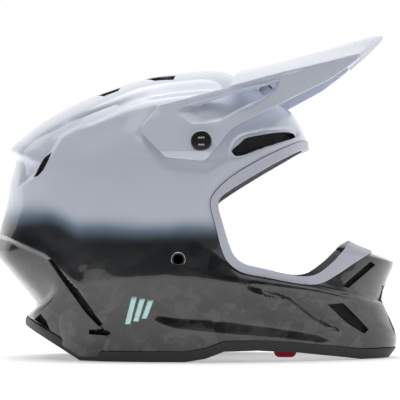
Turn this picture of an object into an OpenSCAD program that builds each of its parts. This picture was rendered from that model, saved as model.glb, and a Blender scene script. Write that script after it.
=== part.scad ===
// Motocross helmet with a tilting peak.
// +X points forward, +Y to the wearer's left and +Z up. The origin is on the surface
// that the helmet stands on, under the middle of its footprint. Sizes are in millimetres.

/* [Shell] */
// Overall length, from the rear edge to the chin
helmet_length = 368; // [362:1:374]
// Width across the shell
shell_width = 244; // [242:1:246]
// Height of the crown above the surface it stands on
crown_height = 264; // [260:1:268]
// Laminate thickness of the outer shell
shell_thickness = 4; // [3.6:0.1:4.4]

/* [Head] */
// Length of the head cavity inside the comfort liner
head_length = 202; // [196:1:206]
// Width of the head cavity inside the comfort liner
head_width = 156; // [152:1:158]
// Thickness of the crown comfort pad
comfort_thickness = 8; // [6:1:9]

/* [Peak] */
// Wall thickness of the peak
peak_wall = 3; // [2.5:0.1:3.2]
// Radius of the pivot screw's head
screw_head_r = 9; // [8:0.5:10]
// Radius of the pivot screw's shank
screw_shank_r = 4; // [3.5:0.1:4.2]

/* [Strap] */
// Width of the chin strap webbing
strap_width = 25; // [22:1:26]
// Thickness of the webbing
strap_thick = 1.8; // [1.5:0.1:2]

/* [Hidden] */
$fn = 48;

// Scale from the nominal design to the driving sizes.
sx = helmet_length / 368;
sy = shell_width / 244;
sz = crown_height / 264;
reach = 200;

// ---- Outline helpers. An outline is a list of [x, z] points in side view.

function to_size(pts) = [for (p = pts) [p[0] * sx, p[1] * sz]];
function ease(t) = let (c = min(1, max(0, t))) c * c * (3 - 2 * c);
function mix(a, b, t) = a * (1 - t) + b * t;
function unit(v) = v / norm(v);
function along(a, b, c, d, t) =
    0.5 * (2 * b + (c - a) * t + (2 * a - 5 * b + 4 * c - d) * t * t
           + (3 * b - a - 3 * c + d) * t * t * t);
// A closed curve through every point, with a number of steps between each two.
function rounded(pts, steps) = let (n = len(pts)) [
    for (i = [0 : n - 1], s = [0 : steps - 1])
        along(pts[(i + n - 1) % n], pts[i], pts[(i + 1) % n], pts[(i + 2) % n], s / steps)
];
function sum(v, i = 0) = i < len(v) ? v[i] + sum(v, i + 1) : 0;
// +1 for an outline drawn counter-clockwise, -1 for clockwise.
function winding(pts) = let (n = len(pts))
    sign(sum([for (i = [0 : n - 1]) cross(pts[i], pts[(i + 1) % n])]));
// The outward direction at one point of an outline.
function outward(pts, i) = let (n = len(pts), t = unit(pts[(i + 1) % n] - pts[(i + n - 1) % n]))
    [t[1], -t[0]];
// The outline grown by d, or drawn in where d is negative.
function grown(pts, d) = let (w = winding(pts)) [
    for (i = [0 : len(pts) - 1]) pts[i] + d * w * outward(pts, i)
];

// Extrudes a side outline across the helmet, from y0 to y1.
module across(pts, y0 = -reach, y1 = reach) {
    translate([0, y1, 0]) rotate([90, 0, 0]) linear_extrude(y1 - y0) polygon(pts);
}
module both_sides() {
    children();
    mirror([0, 1, 0]) children();
}
// Evaluates a free-form body as one mesh, at its own size.
module one_mesh() resize([0, 0, 0]) children();
module above(z) translate([-300, -300, z]) cube(600);
module below(z) translate([-300, -300, z - 600]) cube(600);
module ahead_of(x) translate([x, -300, -300]) cube(600);
module behind(x) translate([x - 600, -300, -300]) cube(600);

// ---- The shell's form: a side silhouette, inflated to the shell's width.

core = [-20 * sx, 130 * sz];
roundness = 2.5;
bulge_w = shell_width / 2;

// The centreline silhouette with its edges, from the brow over the crown to the chin.
// It runs on below the base, where it only steers the side walls.
sharp_side = to_size([
    [98, 203], [88, 222], [81, 228.5], [66, 239], [45, 253], [20, 263.5], [-12, 262.5], [-45, 257.5],
    [-80, 247], [-110, 235], [-140, 219], [-160, 204], [-173, 192], [-169, 180],
    [-172, 165], [-176, 144], [-181, 120], [-184, 98], [-171, 80], [-150, 55], [-147, 46],
    [-157, 31], [-140, 5], [-110, -45], [-40, -90], [60, -90], [140, -40], [170, -5],
    [183, 14], [177, 34], [169, 52], [174, 70], [180, 86], [158, 97], [136, 108],
    [122, 132], [110, 162], [101, 188]
]);
// The same points, softened. The side walls follow these away from the centreline.
soft_side = to_size([
    [96, 203], [86, 222], [79, 228.5], [64, 239.5], [44, 252.5], [20, 261], [-12, 262], [-45, 257],
    [-80, 247], [-110, 233], [-140, 215], [-155, 201], [-164, 189], [-169, 176],
    [-173, 160], [-175, 143], [-176, 120], [-173, 98], [-168, 80], [-162, 58], [-158, 46],
    [-152, 31], [-138, 5], [-108, -45], [-40, -90], [60, -90], [132, -40], [158, -5],
    [170, 14], [174, 34], [174, 52], [170, 70], [164, 86], [156, 102], [145, 118],
    [131, 138], [117, 162], [104, 188]
]);
// How far the chin narrows towards the front, below the eyeport.
function taper(x, z) = 1 - 0.0018 * max(0, x / sx) * (1 - ease((z / sz - 120) / 80));
// Distance out from the core of ring j of m, as a share of the silhouette's.
function ring_rho(j, m) = pow(cos(90 * j / m), 2 / roundness);
// One point of the skin. The silhouette is drawn in by inset, then shrunk by rho.
function skin_point(sharp, soft, i, rho, side, inset) =
    let (edge = mix(soft[i], sharp[i], ease((rho - 0.72) / 0.22)),
         dir = inset > 10 ? unit(edge - core) : outward(rho > 0.94 ? sharp : soft, i),
         drawn = edge - inset * dir,
         p = core + (drawn - core) * rho,
         h = pow(1 - pow(rho, roundness), 1 / roundness))
    [p[0], side * (bulge_w - inset) * h * taper(p[0], p[1]), p[1]];

// The closed form of the shell, drawn in by inset all round.
// Faces near the outside are finer than the hidden ones.
module skin(inset) {
    steps = inset < 2 ? 2 : 1;
    m = inset < 2 ? 8 : 6;
    sharp = rounded(sharp_side, steps);
    soft = rounded(soft_side, steps);
    n = len(sharp);
    pts = concat(
        [for (i = [0 : n - 1]) skin_point(sharp, soft, i, 1, 0, inset)],
        [for (s = [1, -1], j = [1 : m - 1], i = [0 : n - 1])
            skin_point(sharp, soft, i, ring_rho(j, m), s, inset)],
        [for (s = [1, -1]) [core[0], s * (bulge_w - inset), core[1]]]
    );
    function at(s, j, i) = j == 0 ? i % n : n + s * (m - 1) * n + (j - 1) * n + i % n;
    pole = n + 2 * (m - 1) * n;
    walls = [for (s = [0, 1], j = [0 : m - 2], i = [0 : n - 1], half = [0, 1])
        let (a = at(s, j, i), b = at(s, j, i + 1), c = at(s, j + 1, i + 1), d = at(s, j + 1, i),
             tri = half == 0 ? [a, b, c] : [a, c, d])
        s == 0 ? tri : [tri[2], tri[1], tri[0]]];
    caps = [for (s = [0, 1], i = [0 : n - 1])
        let (tri = [at(s, m - 1, i), at(s, m - 1, i + 1), pole + s])
        s == 0 ? tri : [tri[2], tri[1], tri[0]]];
    polyhedron(points = pts, faces = concat(walls, caps), convexity = 8);
}
// The layer between two depths below the shell's outer face.
module layer(outer, inner) {
    difference() {
        skin(outer);
        skin(inner);
    }
}

// ---- Side outlines that several pieces share.

// The lip of the eyeport, open to the front between brow and chin.
eyeport_lip = rounded(to_size([
    [19, 144], [17, 136], [20, 124], [26, 104], [31, 93], [40, 86], [56, 82], [74, 78],
    [92, 75], [105, 77], [119, 87], [130, 98], [140, 108], [172, 128], [190, 160],
    [150, 185], [112, 191], [96, 190], [80, 182], [62, 172], [42, 160], [28, 151]
]), 2);
// The outer border of the rubber trim round it.
eyeport_border = rounded(to_size([
    [10.5, 142], [11.5, 130], [15, 117], [20, 98], [26, 87], [38, 78.5], [62, 73.5],
    [92, 68], [108, 68.5], [123, 76], [142, 88], [158, 97], [186, 112], [205, 160],
    [160, 196], [112, 199], [94, 197], [78, 190], [58, 180], [34, 166], [19, 154]
]), 2);
shell_opening = grown(eyeport_lip, 2.5);
// The lowest line of the helmet, from tail to chin: flat at the rear and under the chin.
base_line = to_size([
    [-200, 56], [-158, 30], [-106, 0], [-12, 0], [6, 3], [22, 9], [52, 9.5], [90, 7],
    [132, 2], [146, 0], [200, 0]
]);
// Everything between the base line raised by low and by high.
function base_strip(low, high) = let (n = len(base_line)) concat(
    [for (p = base_line) [p[0], p[1] + low]],
    [for (i = [1 : n]) [base_line[n - i][0], base_line[n - i][1] + high]]);
base_trim_height = 9;
shell_edge_rise = 4;

// ---- Vent outlines. Each is cut through both sides.

brow_vent = to_size([
    [29, 186], [35.5, 181], [56, 188.6], [85, 198.6], [86, 201], [78, 203.7], [56, 200.5], [40, 196.4]
]);
rear_vent = to_size([[-142, 163], [-137, 164], [-129, 178], [-128, 187], [-133, 184]]);
rear_slot = to_size([
    [-134, 90], [-122, 73], [-100, 43], [-88, 31], [-84, 33], [-110, 66], [-129, 90]
]);
rear_port = to_size([[-97, 24], [-80, 23], [-77, 25.5], [-80, 28], [-97, 28]]);
tail_vent = to_size([[-147, 41], [-138, 29], [-134, 30], [-141, 44]]);
chin_vent = to_size([[114, 50], [132, 33], [149, 23], [153, 27], [129, 51]]);
cheek_vent = to_size([[128, 66], [134, 64], [160, 85], [155, 88]]);
side_vents = [brow_vent, rear_vent, rear_slot, rear_port, tail_vent, chin_vent, cheek_vent];
// Crown vents in plan view, on the wearer's left.
function to_plan(pts) = [for (p = pts) [p[0] * sx, p[1] * sy]];
crown_vents = [
    to_plan([[-50, 35], [-21, 49], [-23, 63], [-40, 57]]),
    to_plan([[-92, 42], [-71, 44], [-73, 56], [-86, 57]])
];
// The mouth vent in front view, at the middle of the chin bar.
mouth_half_w = 25 * sy;
mouth_low = 22 * sz;
mouth_high = 66 * sz;
mouth_rim = 4;
fit_gap = 0.15;

module crown_cuts(gap) {
    both_sides() for (v = crown_vents)
        translate([0, 0, 180 * sz]) linear_extrude(100) polygon(grown(v, -gap));
}
module mouth_cut(gap) {
    translate([120 * sx, gap - mouth_half_w, mouth_low + gap])
        cube([100, 2 * (mouth_half_w - gap), mouth_high - mouth_low - 2 * gap]);
}

// ---- Pivot, screw and strap anchor places.

// The peak turns about the line through this point, across the helmet.
pivot = [2 * sx, 193 * sz];
arm_thick = 3.5;
arm_out = bulge_w - 2;
arm_in = arm_out - arm_thick;
insert_r = 7;
insert_tip = arm_in - 0.5;
insert_root = arm_in - 24;
bush_r = 6;
bush_flange = 1;
bush_flange_r = 8.5;
running_gap = 0.05;
head_thick = 2.6;
// The centre screw stands out from the shell, pointing away from the pivot line.
center_angle = 42;
bracket_r = norm([64 * sx, 57.5 * sz]);
bracket_thick = 2.5;
bracket_half_w = 13;
bracket_half_angle = 9.8;
slot_half_angle = 8;
center_shank_r = 2.5;
center_head_r = 6;
center_insert_r = 5;
// The strap rivets' place on the shell.
anchor = [-18 * sx, 90 * sz];
rivet_r = 4;
anchor_plate_r = 9;
anchor_plate_thick = 1.2;

module at_pivot() translate([pivot[0], 0, pivot[1]]) rotate([-90, 0, 0]) children();
module at_anchor() translate([anchor[0], 0, anchor[1]]) rotate([-90, 0, 0]) children();
module at_center() translate([pivot[0], 0, pivot[1]]) rotate([0, 90 - center_angle, 0]) children();
module rod(r) cylinder(r = r, h = 2 * reach, center = true);
module hardware_holes(gap) {
    at_pivot() rod(insert_r + gap);
    at_anchor() rod(rivet_r + gap);
    at_center() translate([0, 0, bracket_r - 30]) cylinder(r = center_insert_r + gap, h = 60);
}

// ---- Outer shell and its trims.

module outer_shell() {
    color("lavender") one_mesh() difference() {
        skin(0);
        skin(shell_thickness);
        across(shell_opening);
        across(base_strip(-300, shell_edge_rise));
        for (v = side_vents) across(v);
        crown_cuts(0);
        mouth_cut(0);
        hardware_holes(0.3);
    }
}
// The rubber edge round the eyeport: it grips the shell's edge from both sides.
trim_over = 1.2;
trim_gap = 0.1;
module eyeport_trim() {
    color("gainsboro") one_mesh() difference() {
        intersection() {
            layer(-trim_over, shell_thickness + trim_over);
            across(eyeport_border);
        }
        across(eyeport_lip);
        difference() {
            layer(-trim_gap, shell_thickness + trim_gap);
            across(grown(shell_opening, -trim_gap));
        }
        across(brow_vent);
    }
}
// The rubber roll round the lower edge.
base_trim_thick = 9;
module base_trim() {
    color("dimgray") one_mesh() difference() {
        intersection() {
            layer(-1, base_trim_thick);
            across(base_strip(0, base_trim_height));
        }
        difference() {
            layer(-trim_gap, shell_thickness + trim_gap);
            across(base_strip(-300, shell_edge_rise - trim_gap));
        }
        across(tail_vent);
    }
}

// ---- Energy absorbing liners.

liner_gap = 0.5;
liner_rise = base_trim_height + 3;
eps_wall = comfort_thickness + 1;
head_center = [-38 * sx, 0, 132 * sz];
head_top_r = 88 * sz;
split_z = 122 * sz;
front_end = 76 * sx;
// The head cavity, grown by g: an egg above, and a tube for face and neck below.
module head_form(g) {
    a = head_length / 2 + g;
    b = head_width / 2 + g;
    translate(head_center) {
        scale([a, b, head_top_r + g]) sphere(r = 1, $fn = 40);
        translate([0, 0, -200]) scale([a, b, 1]) cylinder(r = 1, h = 200, $fn = 40);
        translate([0, -b, -200]) cube([200, 2 * b, 200]);
    }
}
module liner_body() {
    difference() {
        skin(shell_thickness + liner_gap);
        head_form(eps_wall);
        across(grown(eyeport_border, 1));
        across(base_strip(-300, liner_rise));
        at_pivot() rod(insert_r + 1);
        at_center() translate([0, 0, bracket_r - 30]) cylinder(r = center_insert_r + 1, h = 60);
    }
}
module eps_upper() {
    color("darkslategray") one_mesh() difference() {
        liner_body();
        below(split_z);
    }
}
// Room for the strap between the lower liner and the shell, and under its edge.
module strap_tunnel() {
    both_sides() translate([anchor[0] - strap_width / 2 - 3, 0, 0]) {
        translate([0, 98 * sy, -5]) cube([strap_width + 6, 60, anchor[1] + 20]);
        translate([0, 84 * sy, -5]) cube([strap_width + 6, 60, 36]);
    }
}
snap_places = to_size([[-38, 50], [-38, 92]]);
module at_snaps() {
    both_sides() for (p = snap_places)
        translate([p[0], head_width / 2 + eps_wall, p[1]]) rotate([-90, 0, 0]) children();
}
module eps_lower() {
    color("dimgray") one_mesh() difference() {
        liner_body();
        above(split_z - 0.5);
        ahead_of(front_end);
        strap_tunnel();
        at_snaps() cylinder(r = 5.5, h = 4, center = true);
    }
}
module eps_chin_bar() {
    color("dimgray") one_mesh() difference() {
        skin(shell_thickness + liner_gap);
        skin(shell_thickness + 15);
        across(grown(eyeport_border, 1));
        across(base_strip(-300, liner_rise));
        behind(front_end + 1);
        mouth_cut(-3);
        above(80 * sz);
    }
}

// ---- Comfort parts.

pad_gap = 0.4;
brow_x = 28 * sx;
module comfort_layer() {
    difference() {
        head_form(comfort_thickness);
        head_form(0);
        across(grown(eyeport_lip, 6));
        below(split_z + 12);
    }
}
module crown_pad() {
    color("slategray") one_mesh() difference() {
        comfort_layer();
        ahead_of(brow_x);
    }
}
module brow_pad() {
    color("slategray") one_mesh() difference() {
        comfort_layer();
        behind(brow_x + pad_gap);
    }
}
roll_low = 50 * sz;
roll_front = -62 * sx;
module neck_roll() {
    color("slategray") one_mesh() difference() {
        intersection() {
            head_form(comfort_thickness);
            skin(shell_thickness + 9);
        }
        head_form(-4);
        above(split_z + 8);
        below(roll_low);
        ahead_of(roll_front);
    }
}
cheek_outline = rounded(to_size([
    [-56, 46], [-34, 22], [0, 20], [40, 21], [70, 30], [66, 52], [40, 74], [20, 88],
    [8, 112], [-24, 118], [-50, 108], [-58, 76]
]), 3);
// A cheek pad: flat towards the liner, hollowed towards the face.
module cheek_pad(side) {
    color("slategray") one_mesh() difference() {
        intersection() {
            across(cheek_outline, side > 0 ? 52 * sy : -reach, side > 0 ? reach : -52 * sy);
            head_form(comfort_thickness + 0.5);
        }
        translate(head_center) scale([102 * sx, 58 * sy, 120 * sz]) sphere(r = 1, $fn = 40);
    }
}
module cheek_pad_left() cheek_pad(1);
module cheek_pad_right() cheek_pad(-1);
// Pull tab under each cheek pad, for taking the pads out after a crash.
tab_x = 77 * sx;
tab_y = 70 * sy;
tab_low = 2.5 * sz;
tab_high = 19 * sz;
tab_stem = 27 * sz;
tab_thick = 3;
module release_tab(side) {
    color("crimson") translate([tab_x, side * tab_y, 0]) rotate([90, 0, 0])
        linear_extrude(tab_thick, center = true)
            polygon([[-7, tab_low], [7, tab_low], [10, tab_low + 3], [10, tab_high - 6],
                     [0, tab_high], [-5, tab_stem], [-10, tab_stem], [-10, tab_low + 3]]);
}
module release_tab_left() release_tab(1);
module release_tab_right() release_tab(-1);
// Snap fasteners between the cheek pads and the lower liner.
module pad_snaps() {
    color("black") at_snaps() translate([0, 0, 0.1]) cylinder(r = 5, h = 1.6);
}

// ---- Chin strap.

// The webbing's route across the helmet, as [y, z] points from the anchor inwards.
strap_route = [
    [110.5 * sy, 96 * sz], [109 * sy, 60 * sz], [101 * sy, 34 * sz], [90 * sy, 17 * sz],
    [76 * sy, 11 * sz], [40 * sy, 9 * sz]
];
ring_wire_r = 1.6;
ring_half_w = 15.5;
ring_bar_y = 10;
ring_front_y = -4;
ring_corner_r = 6;
ring_z = [9.2 * sz, 12.8 * sz];
module webbing(route) {
    for (i = [0 : len(route) - 2]) hull() for (p = [route[i], route[i + 1]])
        translate([anchor[0], p[0], p[1]]) rotate([0, 90, 0])
            cylinder(d = strap_thick, h = strap_width, center = true, $fn = 12);
}
// The left strap ends in a loop sewn round the two rings' bars.
module chin_strap_left() {
    loop_r = ring_wire_r + 0.4;
    color("black") one_mesh() difference() {
        union() {
            webbing(concat(strap_route, [[ring_bar_y + 6, ring_z[0]], [ring_bar_y + 2, ring_z[0]]]));
            hull() for (z = ring_z) translate([anchor[0], ring_bar_y, z]) rotate([0, 90, 0])
                cylinder(r = loop_r + strap_thick, h = strap_width, center = true, $fn = 24);
        }
        hull() for (z = ring_z) translate([anchor[0], ring_bar_y, z]) rotate([0, 90, 0])
            cylinder(r = loop_r, h = 2 * strap_width, center = true, $fn = 24);
    }
}
// The right strap passes up through both rings and folds back over them.
module chin_strap_right() {
    clear = ring_wire_r + strap_thick / 2 + 0.35;
    low = ring_z[0] - clear;
    high = ring_z[1] + clear;
    color("black") one_mesh() webbing(concat(
        [for (p = strap_route) [-p[0], p[1]]],
        [[-22, low], [1.2, low], [3.4, low + 3], [3.4, high - 3], [1.2, high], [-6, high],
         [-20, high - 4], [-44, 12.5 * sz]]));
}
module d_ring() {
    side_len = ring_bar_y - ring_front_y - ring_corner_r;
    front_half = ring_half_w - ring_corner_r;
    translate([0, ring_bar_y, 0]) rotate([0, 90, 0])
        cylinder(r = ring_wire_r, h = 2 * ring_half_w, center = true);
    translate([0, ring_front_y, 0]) rotate([0, 90, 0])
        cylinder(r = ring_wire_r, h = 2 * front_half, center = true);
    for (s = [-1, 1]) {
        translate([s * ring_half_w, ring_bar_y, 0]) sphere(r = ring_wire_r);
        translate([s * ring_half_w, ring_bar_y, 0]) rotate([90, 0, 0])
            cylinder(r = ring_wire_r, h = side_len);
        translate([s * front_half, ring_front_y + ring_corner_r, 0]) rotate([0, 0, s > 0 ? -90 : 180])
            rotate_extrude(angle = 90) translate([ring_corner_r, 0]) circle(r = ring_wire_r);
    }
}
module d_rings() {
    color("silver") for (z = ring_z) translate([anchor[0], 0, z]) d_ring();
}
// Plate and rivet that hold the strap's upper end to the shell.
module strap_anchor(side) {
    plate_y = 112 * sy;
    color("silver") translate([anchor[0], side * plate_y, anchor[1]]) rotate([-side * 90, 0, 0]) {
        cylinder(r = anchor_plate_r, h = anchor_plate_thick);
        cylinder(r = rivet_r, h = bulge_w - plate_y - 0.6);
    }
}
module strap_anchor_left() strap_anchor(1);
module strap_anchor_right() strap_anchor(-1);
// Snap that parks the strap's free end.
module strap_snap() {
    color("black") translate([anchor[0], -40 * sy, 13.7 * sz]) cylinder(r = 6, h = 2);
}

// ---- Vent grilles: thin plates set a little below the shell's face.

grille_depth = 1.2;
grille_thick = 1.6;
module side_grille(outline) {
    color("black") one_mesh() intersection() {
        layer(grille_depth, grille_depth + grille_thick);
        across(grown(outline, -fit_gap));
    }
}
module brow_vent_grilles() side_grille(brow_vent);
module rear_vent_grilles() side_grille(rear_vent);
module rear_slot_grilles() side_grille(rear_slot);
module rear_port_grilles() side_grille(rear_port);
module tail_vent_grilles() side_grille(tail_vent);
module chin_vent_grilles() side_grille(chin_vent);
module cheek_vent_grilles() side_grille(cheek_vent);
module crown_vent_grilles() {
    color("black") one_mesh() intersection() {
        layer(grille_depth, grille_depth + grille_thick);
        crown_cuts(fit_gap);
    }
}
module mouth_vent_frame() {
    color("black") one_mesh() intersection() {
        layer(-trim_over, shell_thickness + 3);
        difference() {
            mouth_cut(fit_gap);
            mouth_cut(mouth_rim);
        }
    }
}
module mouth_vent_grille() {
    color("black") one_mesh() intersection() {
        layer(2, 4);
        mouth_cut(mouth_rim + fit_gap);
    }
}
// The soft guard that stands up behind the chin bar's upper edge.
module nose_guard() {
    color("black") one_mesh() difference() {
        intersection() {
            layer(shell_thickness + 1.6, shell_thickness + 4.2);
            translate([90 * sx, -46 * sy, 81 * sz]) cube([200, 92 * sy, 40 * sz]);
        }
        across(grown(eyeport_lip, -1));
    }
}

// ---- Pivot and centre screw hardware.

module pivot_insert(side) {
    color("dimgray") rotate([0, 0, side > 0 ? 0 : 180]) mirror([side > 0 ? 0 : 1, 0, 0]) at_pivot()
        difference() {
            translate([0, 0, insert_root]) cylinder(r = insert_r, h = insert_tip - insert_root);
            translate([0, 0, insert_root + 4])
                cylinder(r = screw_shank_r + running_gap, h = insert_tip - insert_root);
        }
}
module pivot_insert_left() pivot_insert(1);
module pivot_insert_right() pivot_insert(-1);
module center_insert() {
    root = bracket_r - 14;
    color("dimgray") at_center() difference() {
        translate([0, 0, root]) cylinder(r = center_insert_r, h = bracket_r - 1 - root);
        translate([0, 0, root + 2]) cylinder(r = center_shank_r + running_gap, h = 20);
    }
}
module pivot_bush(side) {
    color("black") mirror([0, side > 0 ? 0 : 1, 0]) at_pivot() difference() {
        union() {
            translate([0, 0, arm_in]) cylinder(r = bush_r, h = arm_out - arm_in + 0.1);
            translate([0, 0, arm_out + 0.1]) cylinder(r = bush_flange_r, h = bush_flange);
        }
        rod(screw_shank_r + running_gap);
    }
}
module pivot_bush_left() pivot_bush(1);
module pivot_bush_right() pivot_bush(-1);
module pivot_screw(side) {
    head_y = arm_out + bush_flange + 0.2;
    color("black") mirror([0, side > 0 ? 0 : 1, 0]) at_pivot() difference() {
        union() {
            translate([0, 0, insert_root + 6]) cylinder(r = screw_shank_r, h = head_y - insert_root - 6);
            translate([0, 0, head_y]) cylinder(r = screw_head_r, h = head_thick);
        }
        translate([-screw_head_r * 0.7, -1.1, head_y + head_thick - 1.2])
            cube([screw_head_r * 1.4, 2.2, 2]);
    }
}
module pivot_screw_left() pivot_screw(1);
module pivot_screw_right() pivot_screw(-1);
module center_screw() {
    seat = bracket_r + bracket_thick + 0.1;
    color("black") at_center() difference() {
        union() {
            translate([0, 0, bracket_r - 11]) cylinder(r = center_shank_r, h = seat - bracket_r + 11);
            translate([0, 0, seat]) cylinder(r = center_head_r, h = 2.4);
        }
        translate([0, 0, seat + 1.4]) cylinder(r = 2.2, h = 2, $fn = 6);
    }
}

// ---- Peak.

// Rows of the top plate from rear to front: middle, spine's edge, slope and side edge.
peak_rows = [
    [[36, 0, 264.5], [36, 24, 262.5], [33, 62, 256], [27, 97.5, 243]],
    [[70, 0, 271.6], [70, 25, 270], [71, 60, 264], [71, 94.5, 255]],
    [[100, 0, 280], [100, 24, 277.5], [99, 52, 271], [97, 83, 262]],
    [[129, 0, 288.3], [129, 22, 285], [124, 45, 277], [119, 73.5, 268]],
    [[159, 0, 296.7], [155, 16, 292.5], [149, 38, 283], [142, 63, 274.5]],
    [[171, 0, 297.5], [166, 14, 291.5], [156, 36, 282.5], [145, 61, 274]]
];
// Side view of each arm and side wall, and of the window in it.
peak_side = to_size([
    [-51, 207], [-51, 201], [-29, 179], [3.5, 176], [10, 182], [29, 205], [40, 212],
    [73, 228], [119, 252], [143, 270], [143, 274], [119, 267.5], [71, 255], [27, 242.5],
    [-35, 226]
]);
peak_window = to_size([
    [-18, 219], [-6, 209], [18, 211.5], [27, 216.5], [68, 239], [72, 249], [27, 238],
    [-13, 225.5]
]);
// The arm leans inwards as it rises. Each station is its place along the helmet, then how
// far out the outer face is at the foot of the lean, and the lean per millimetre of height.
arm_stations = [
    [-60, 120.1, 0.45], [12, 124.4, 0.45], [27, 124, 0.45], [49, 114, 0.3], [71, 105.1, 0.15],
    [119, 85.9, 0.15], [147, 74.2, 0.15]
];
arm_levels = [290, 184, 165];
// A plate under a grid of points, as deep as drop.
module plate(grid, drop) {
    rows = len(grid);
    cols = len(grid[0]);
    k = rows * cols;
    face = [for (r = grid, p = r) p];
    quads = [for (r = [0 : rows - 2], c = [0 : cols - 2])
        [r * cols + c, r * cols + c + 1, (r + 1) * cols + c + 1, (r + 1) * cols + c]];
    rim = concat([for (c = [0 : cols - 2]) c], [for (r = [0 : rows - 2]) r * cols + cols - 1],
        [for (c = [1 : cols - 1]) k - c], [for (r = [1 : rows - 1]) (rows - r) * cols]);
    rim_n = len(rim);
    faces = concat(
        [for (q = quads, t = [[0, 1, 2], [0, 2, 3]]) [q[t[0]], q[t[1]], q[t[2]]]],
        [for (q = quads, t = [[2, 1, 0], [3, 2, 0]]) [q[t[0]] + k, q[t[1]] + k, q[t[2]] + k]],
        [for (i = [0 : rim_n - 1]) let (a = rim[i], b = rim[(i + 1) % rim_n]) [b, a, a + k]],
        [for (i = [0 : rim_n - 1]) let (a = rim[i], b = rim[(i + 1) % rim_n]) [b, a + k, b + k]]
    );
    polyhedron(points = concat(face, [for (p = face) p + drop]), faces = faces, convexity = 4);
}
module peak_top() {
    plate([for (row = peak_rows) [for (c = [-3 : 3]) let (p = row[abs(c)])
        [p[0] * sx, p[1] * sy * sign(c), p[2] * sz]]], [0, 0, -peak_wall]);
}
module peak_walls() {
    intersection() {
        both_sides() plate([for (s = arm_stations) [for (z = arm_levels)
            [s[0] * sx, (s[1] - s[2] * max(0, z - 184)) * sy, z * sz]]], [0, -arm_thick, 0]);
        difference() {
            across(peak_side);
            across(peak_window);
        }
    }
}
// A flat round seat on the arm for the pivot bush.
module pivot_seat() {
    both_sides() at_pivot() translate([0, 0, arm_in]) cylinder(r = bush_flange_r + 1.5, h = arm_thick);
}
module peak() {
    color("lavender") one_mesh() difference() {
        union() {
            peak_top();
            peak_walls();
            pivot_seat();
        }
        at_pivot() rod(bush_r + 0.3);
        at_pivot() cylinder(r = insert_r + 0.5, h = 2 * arm_in, center = true);
        both_sides() at_pivot() translate([0, 0, arm_out]) cylinder(r = bush_flange_r + 1.5, h = 20);
    }
}
// Slotted strip under the peak, curved about the pivot line, with its two ribs.
function polar(r, angle) = pivot + r * [cos(angle), sin(angle)];
rib_thick = 2;
module strip_sector(half_angle, r, depth, half_w) {
    translate([pivot[0], 0, pivot[1]]) rotate([90, 0, 0]) rotate([0, 0, center_angle - half_angle])
        rotate_extrude(angle = 2 * half_angle) translate([r, -half_w]) square([depth, 2 * half_w]);
}
module peak_center_bracket() {
    mid_r = bracket_r + bracket_thick / 2;
    rib = concat(
        [for (a = [-bracket_half_angle : bracket_half_angle / 2 : bracket_half_angle])
            polar(mid_r, center_angle + a)],
        [[57 * sx, 264.2 * sz], [76 * sx, 268.8 * sz], [81 * sx, 252 * sz]]);
    color("dimgray") {
        difference() {
            strip_sector(bracket_half_angle, bracket_r, bracket_thick, bracket_half_w);
            strip_sector(slot_half_angle, bracket_r - 5, bracket_thick + 10, center_shank_r + 0.4);
        }
        both_sides() difference() {
            across(rib, bracket_half_w - rib_thick, bracket_half_w);
            strip_sector(30, bracket_r - 20, 20 + bracket_thick / 2, 2 * bracket_half_w);
        }
    }
}

outer_shell();
eyeport_trim();
base_trim();
eps_upper();
eps_lower();
eps_chin_bar();
crown_pad();
brow_pad();
neck_roll();
cheek_pad_left();
cheek_pad_right();
release_tab_left();
release_tab_right();
pad_snaps();
chin_strap_left();
chin_strap_right();
d_rings();
strap_anchor_left();
strap_anchor_right();
strap_snap();
brow_vent_grilles();
crown_vent_grilles();
rear_vent_grilles();
rear_slot_grilles();
rear_port_grilles();
tail_vent_grilles();
chin_vent_grilles();
cheek_vent_grilles();
mouth_vent_frame();
mouth_vent_grille();
nose_guard();
pivot_insert_left();
pivot_insert_right();
center_insert();
peak();
peak_center_bracket();
pivot_bush_left();
pivot_bush_right();
pivot_screw_left();
pivot_screw_right();
center_screw();
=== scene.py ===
import math
import bmesh
import bpy
import numpy as np
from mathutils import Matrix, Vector
from mathutils.bvhtree import BVHTree


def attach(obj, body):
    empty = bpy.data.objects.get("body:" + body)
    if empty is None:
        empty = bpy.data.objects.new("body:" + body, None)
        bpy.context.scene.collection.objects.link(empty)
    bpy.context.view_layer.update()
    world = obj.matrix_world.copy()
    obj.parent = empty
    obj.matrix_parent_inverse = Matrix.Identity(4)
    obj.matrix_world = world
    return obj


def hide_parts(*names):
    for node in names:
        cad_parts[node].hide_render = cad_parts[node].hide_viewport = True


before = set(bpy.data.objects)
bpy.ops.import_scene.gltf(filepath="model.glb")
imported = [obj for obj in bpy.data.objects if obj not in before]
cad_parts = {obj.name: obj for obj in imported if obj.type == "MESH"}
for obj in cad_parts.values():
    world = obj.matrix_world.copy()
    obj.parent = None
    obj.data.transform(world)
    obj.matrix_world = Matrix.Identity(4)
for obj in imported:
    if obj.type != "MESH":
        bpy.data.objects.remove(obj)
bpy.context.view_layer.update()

mm = 0.001
print("frame loaded,", len(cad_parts), "nodes")


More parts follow.
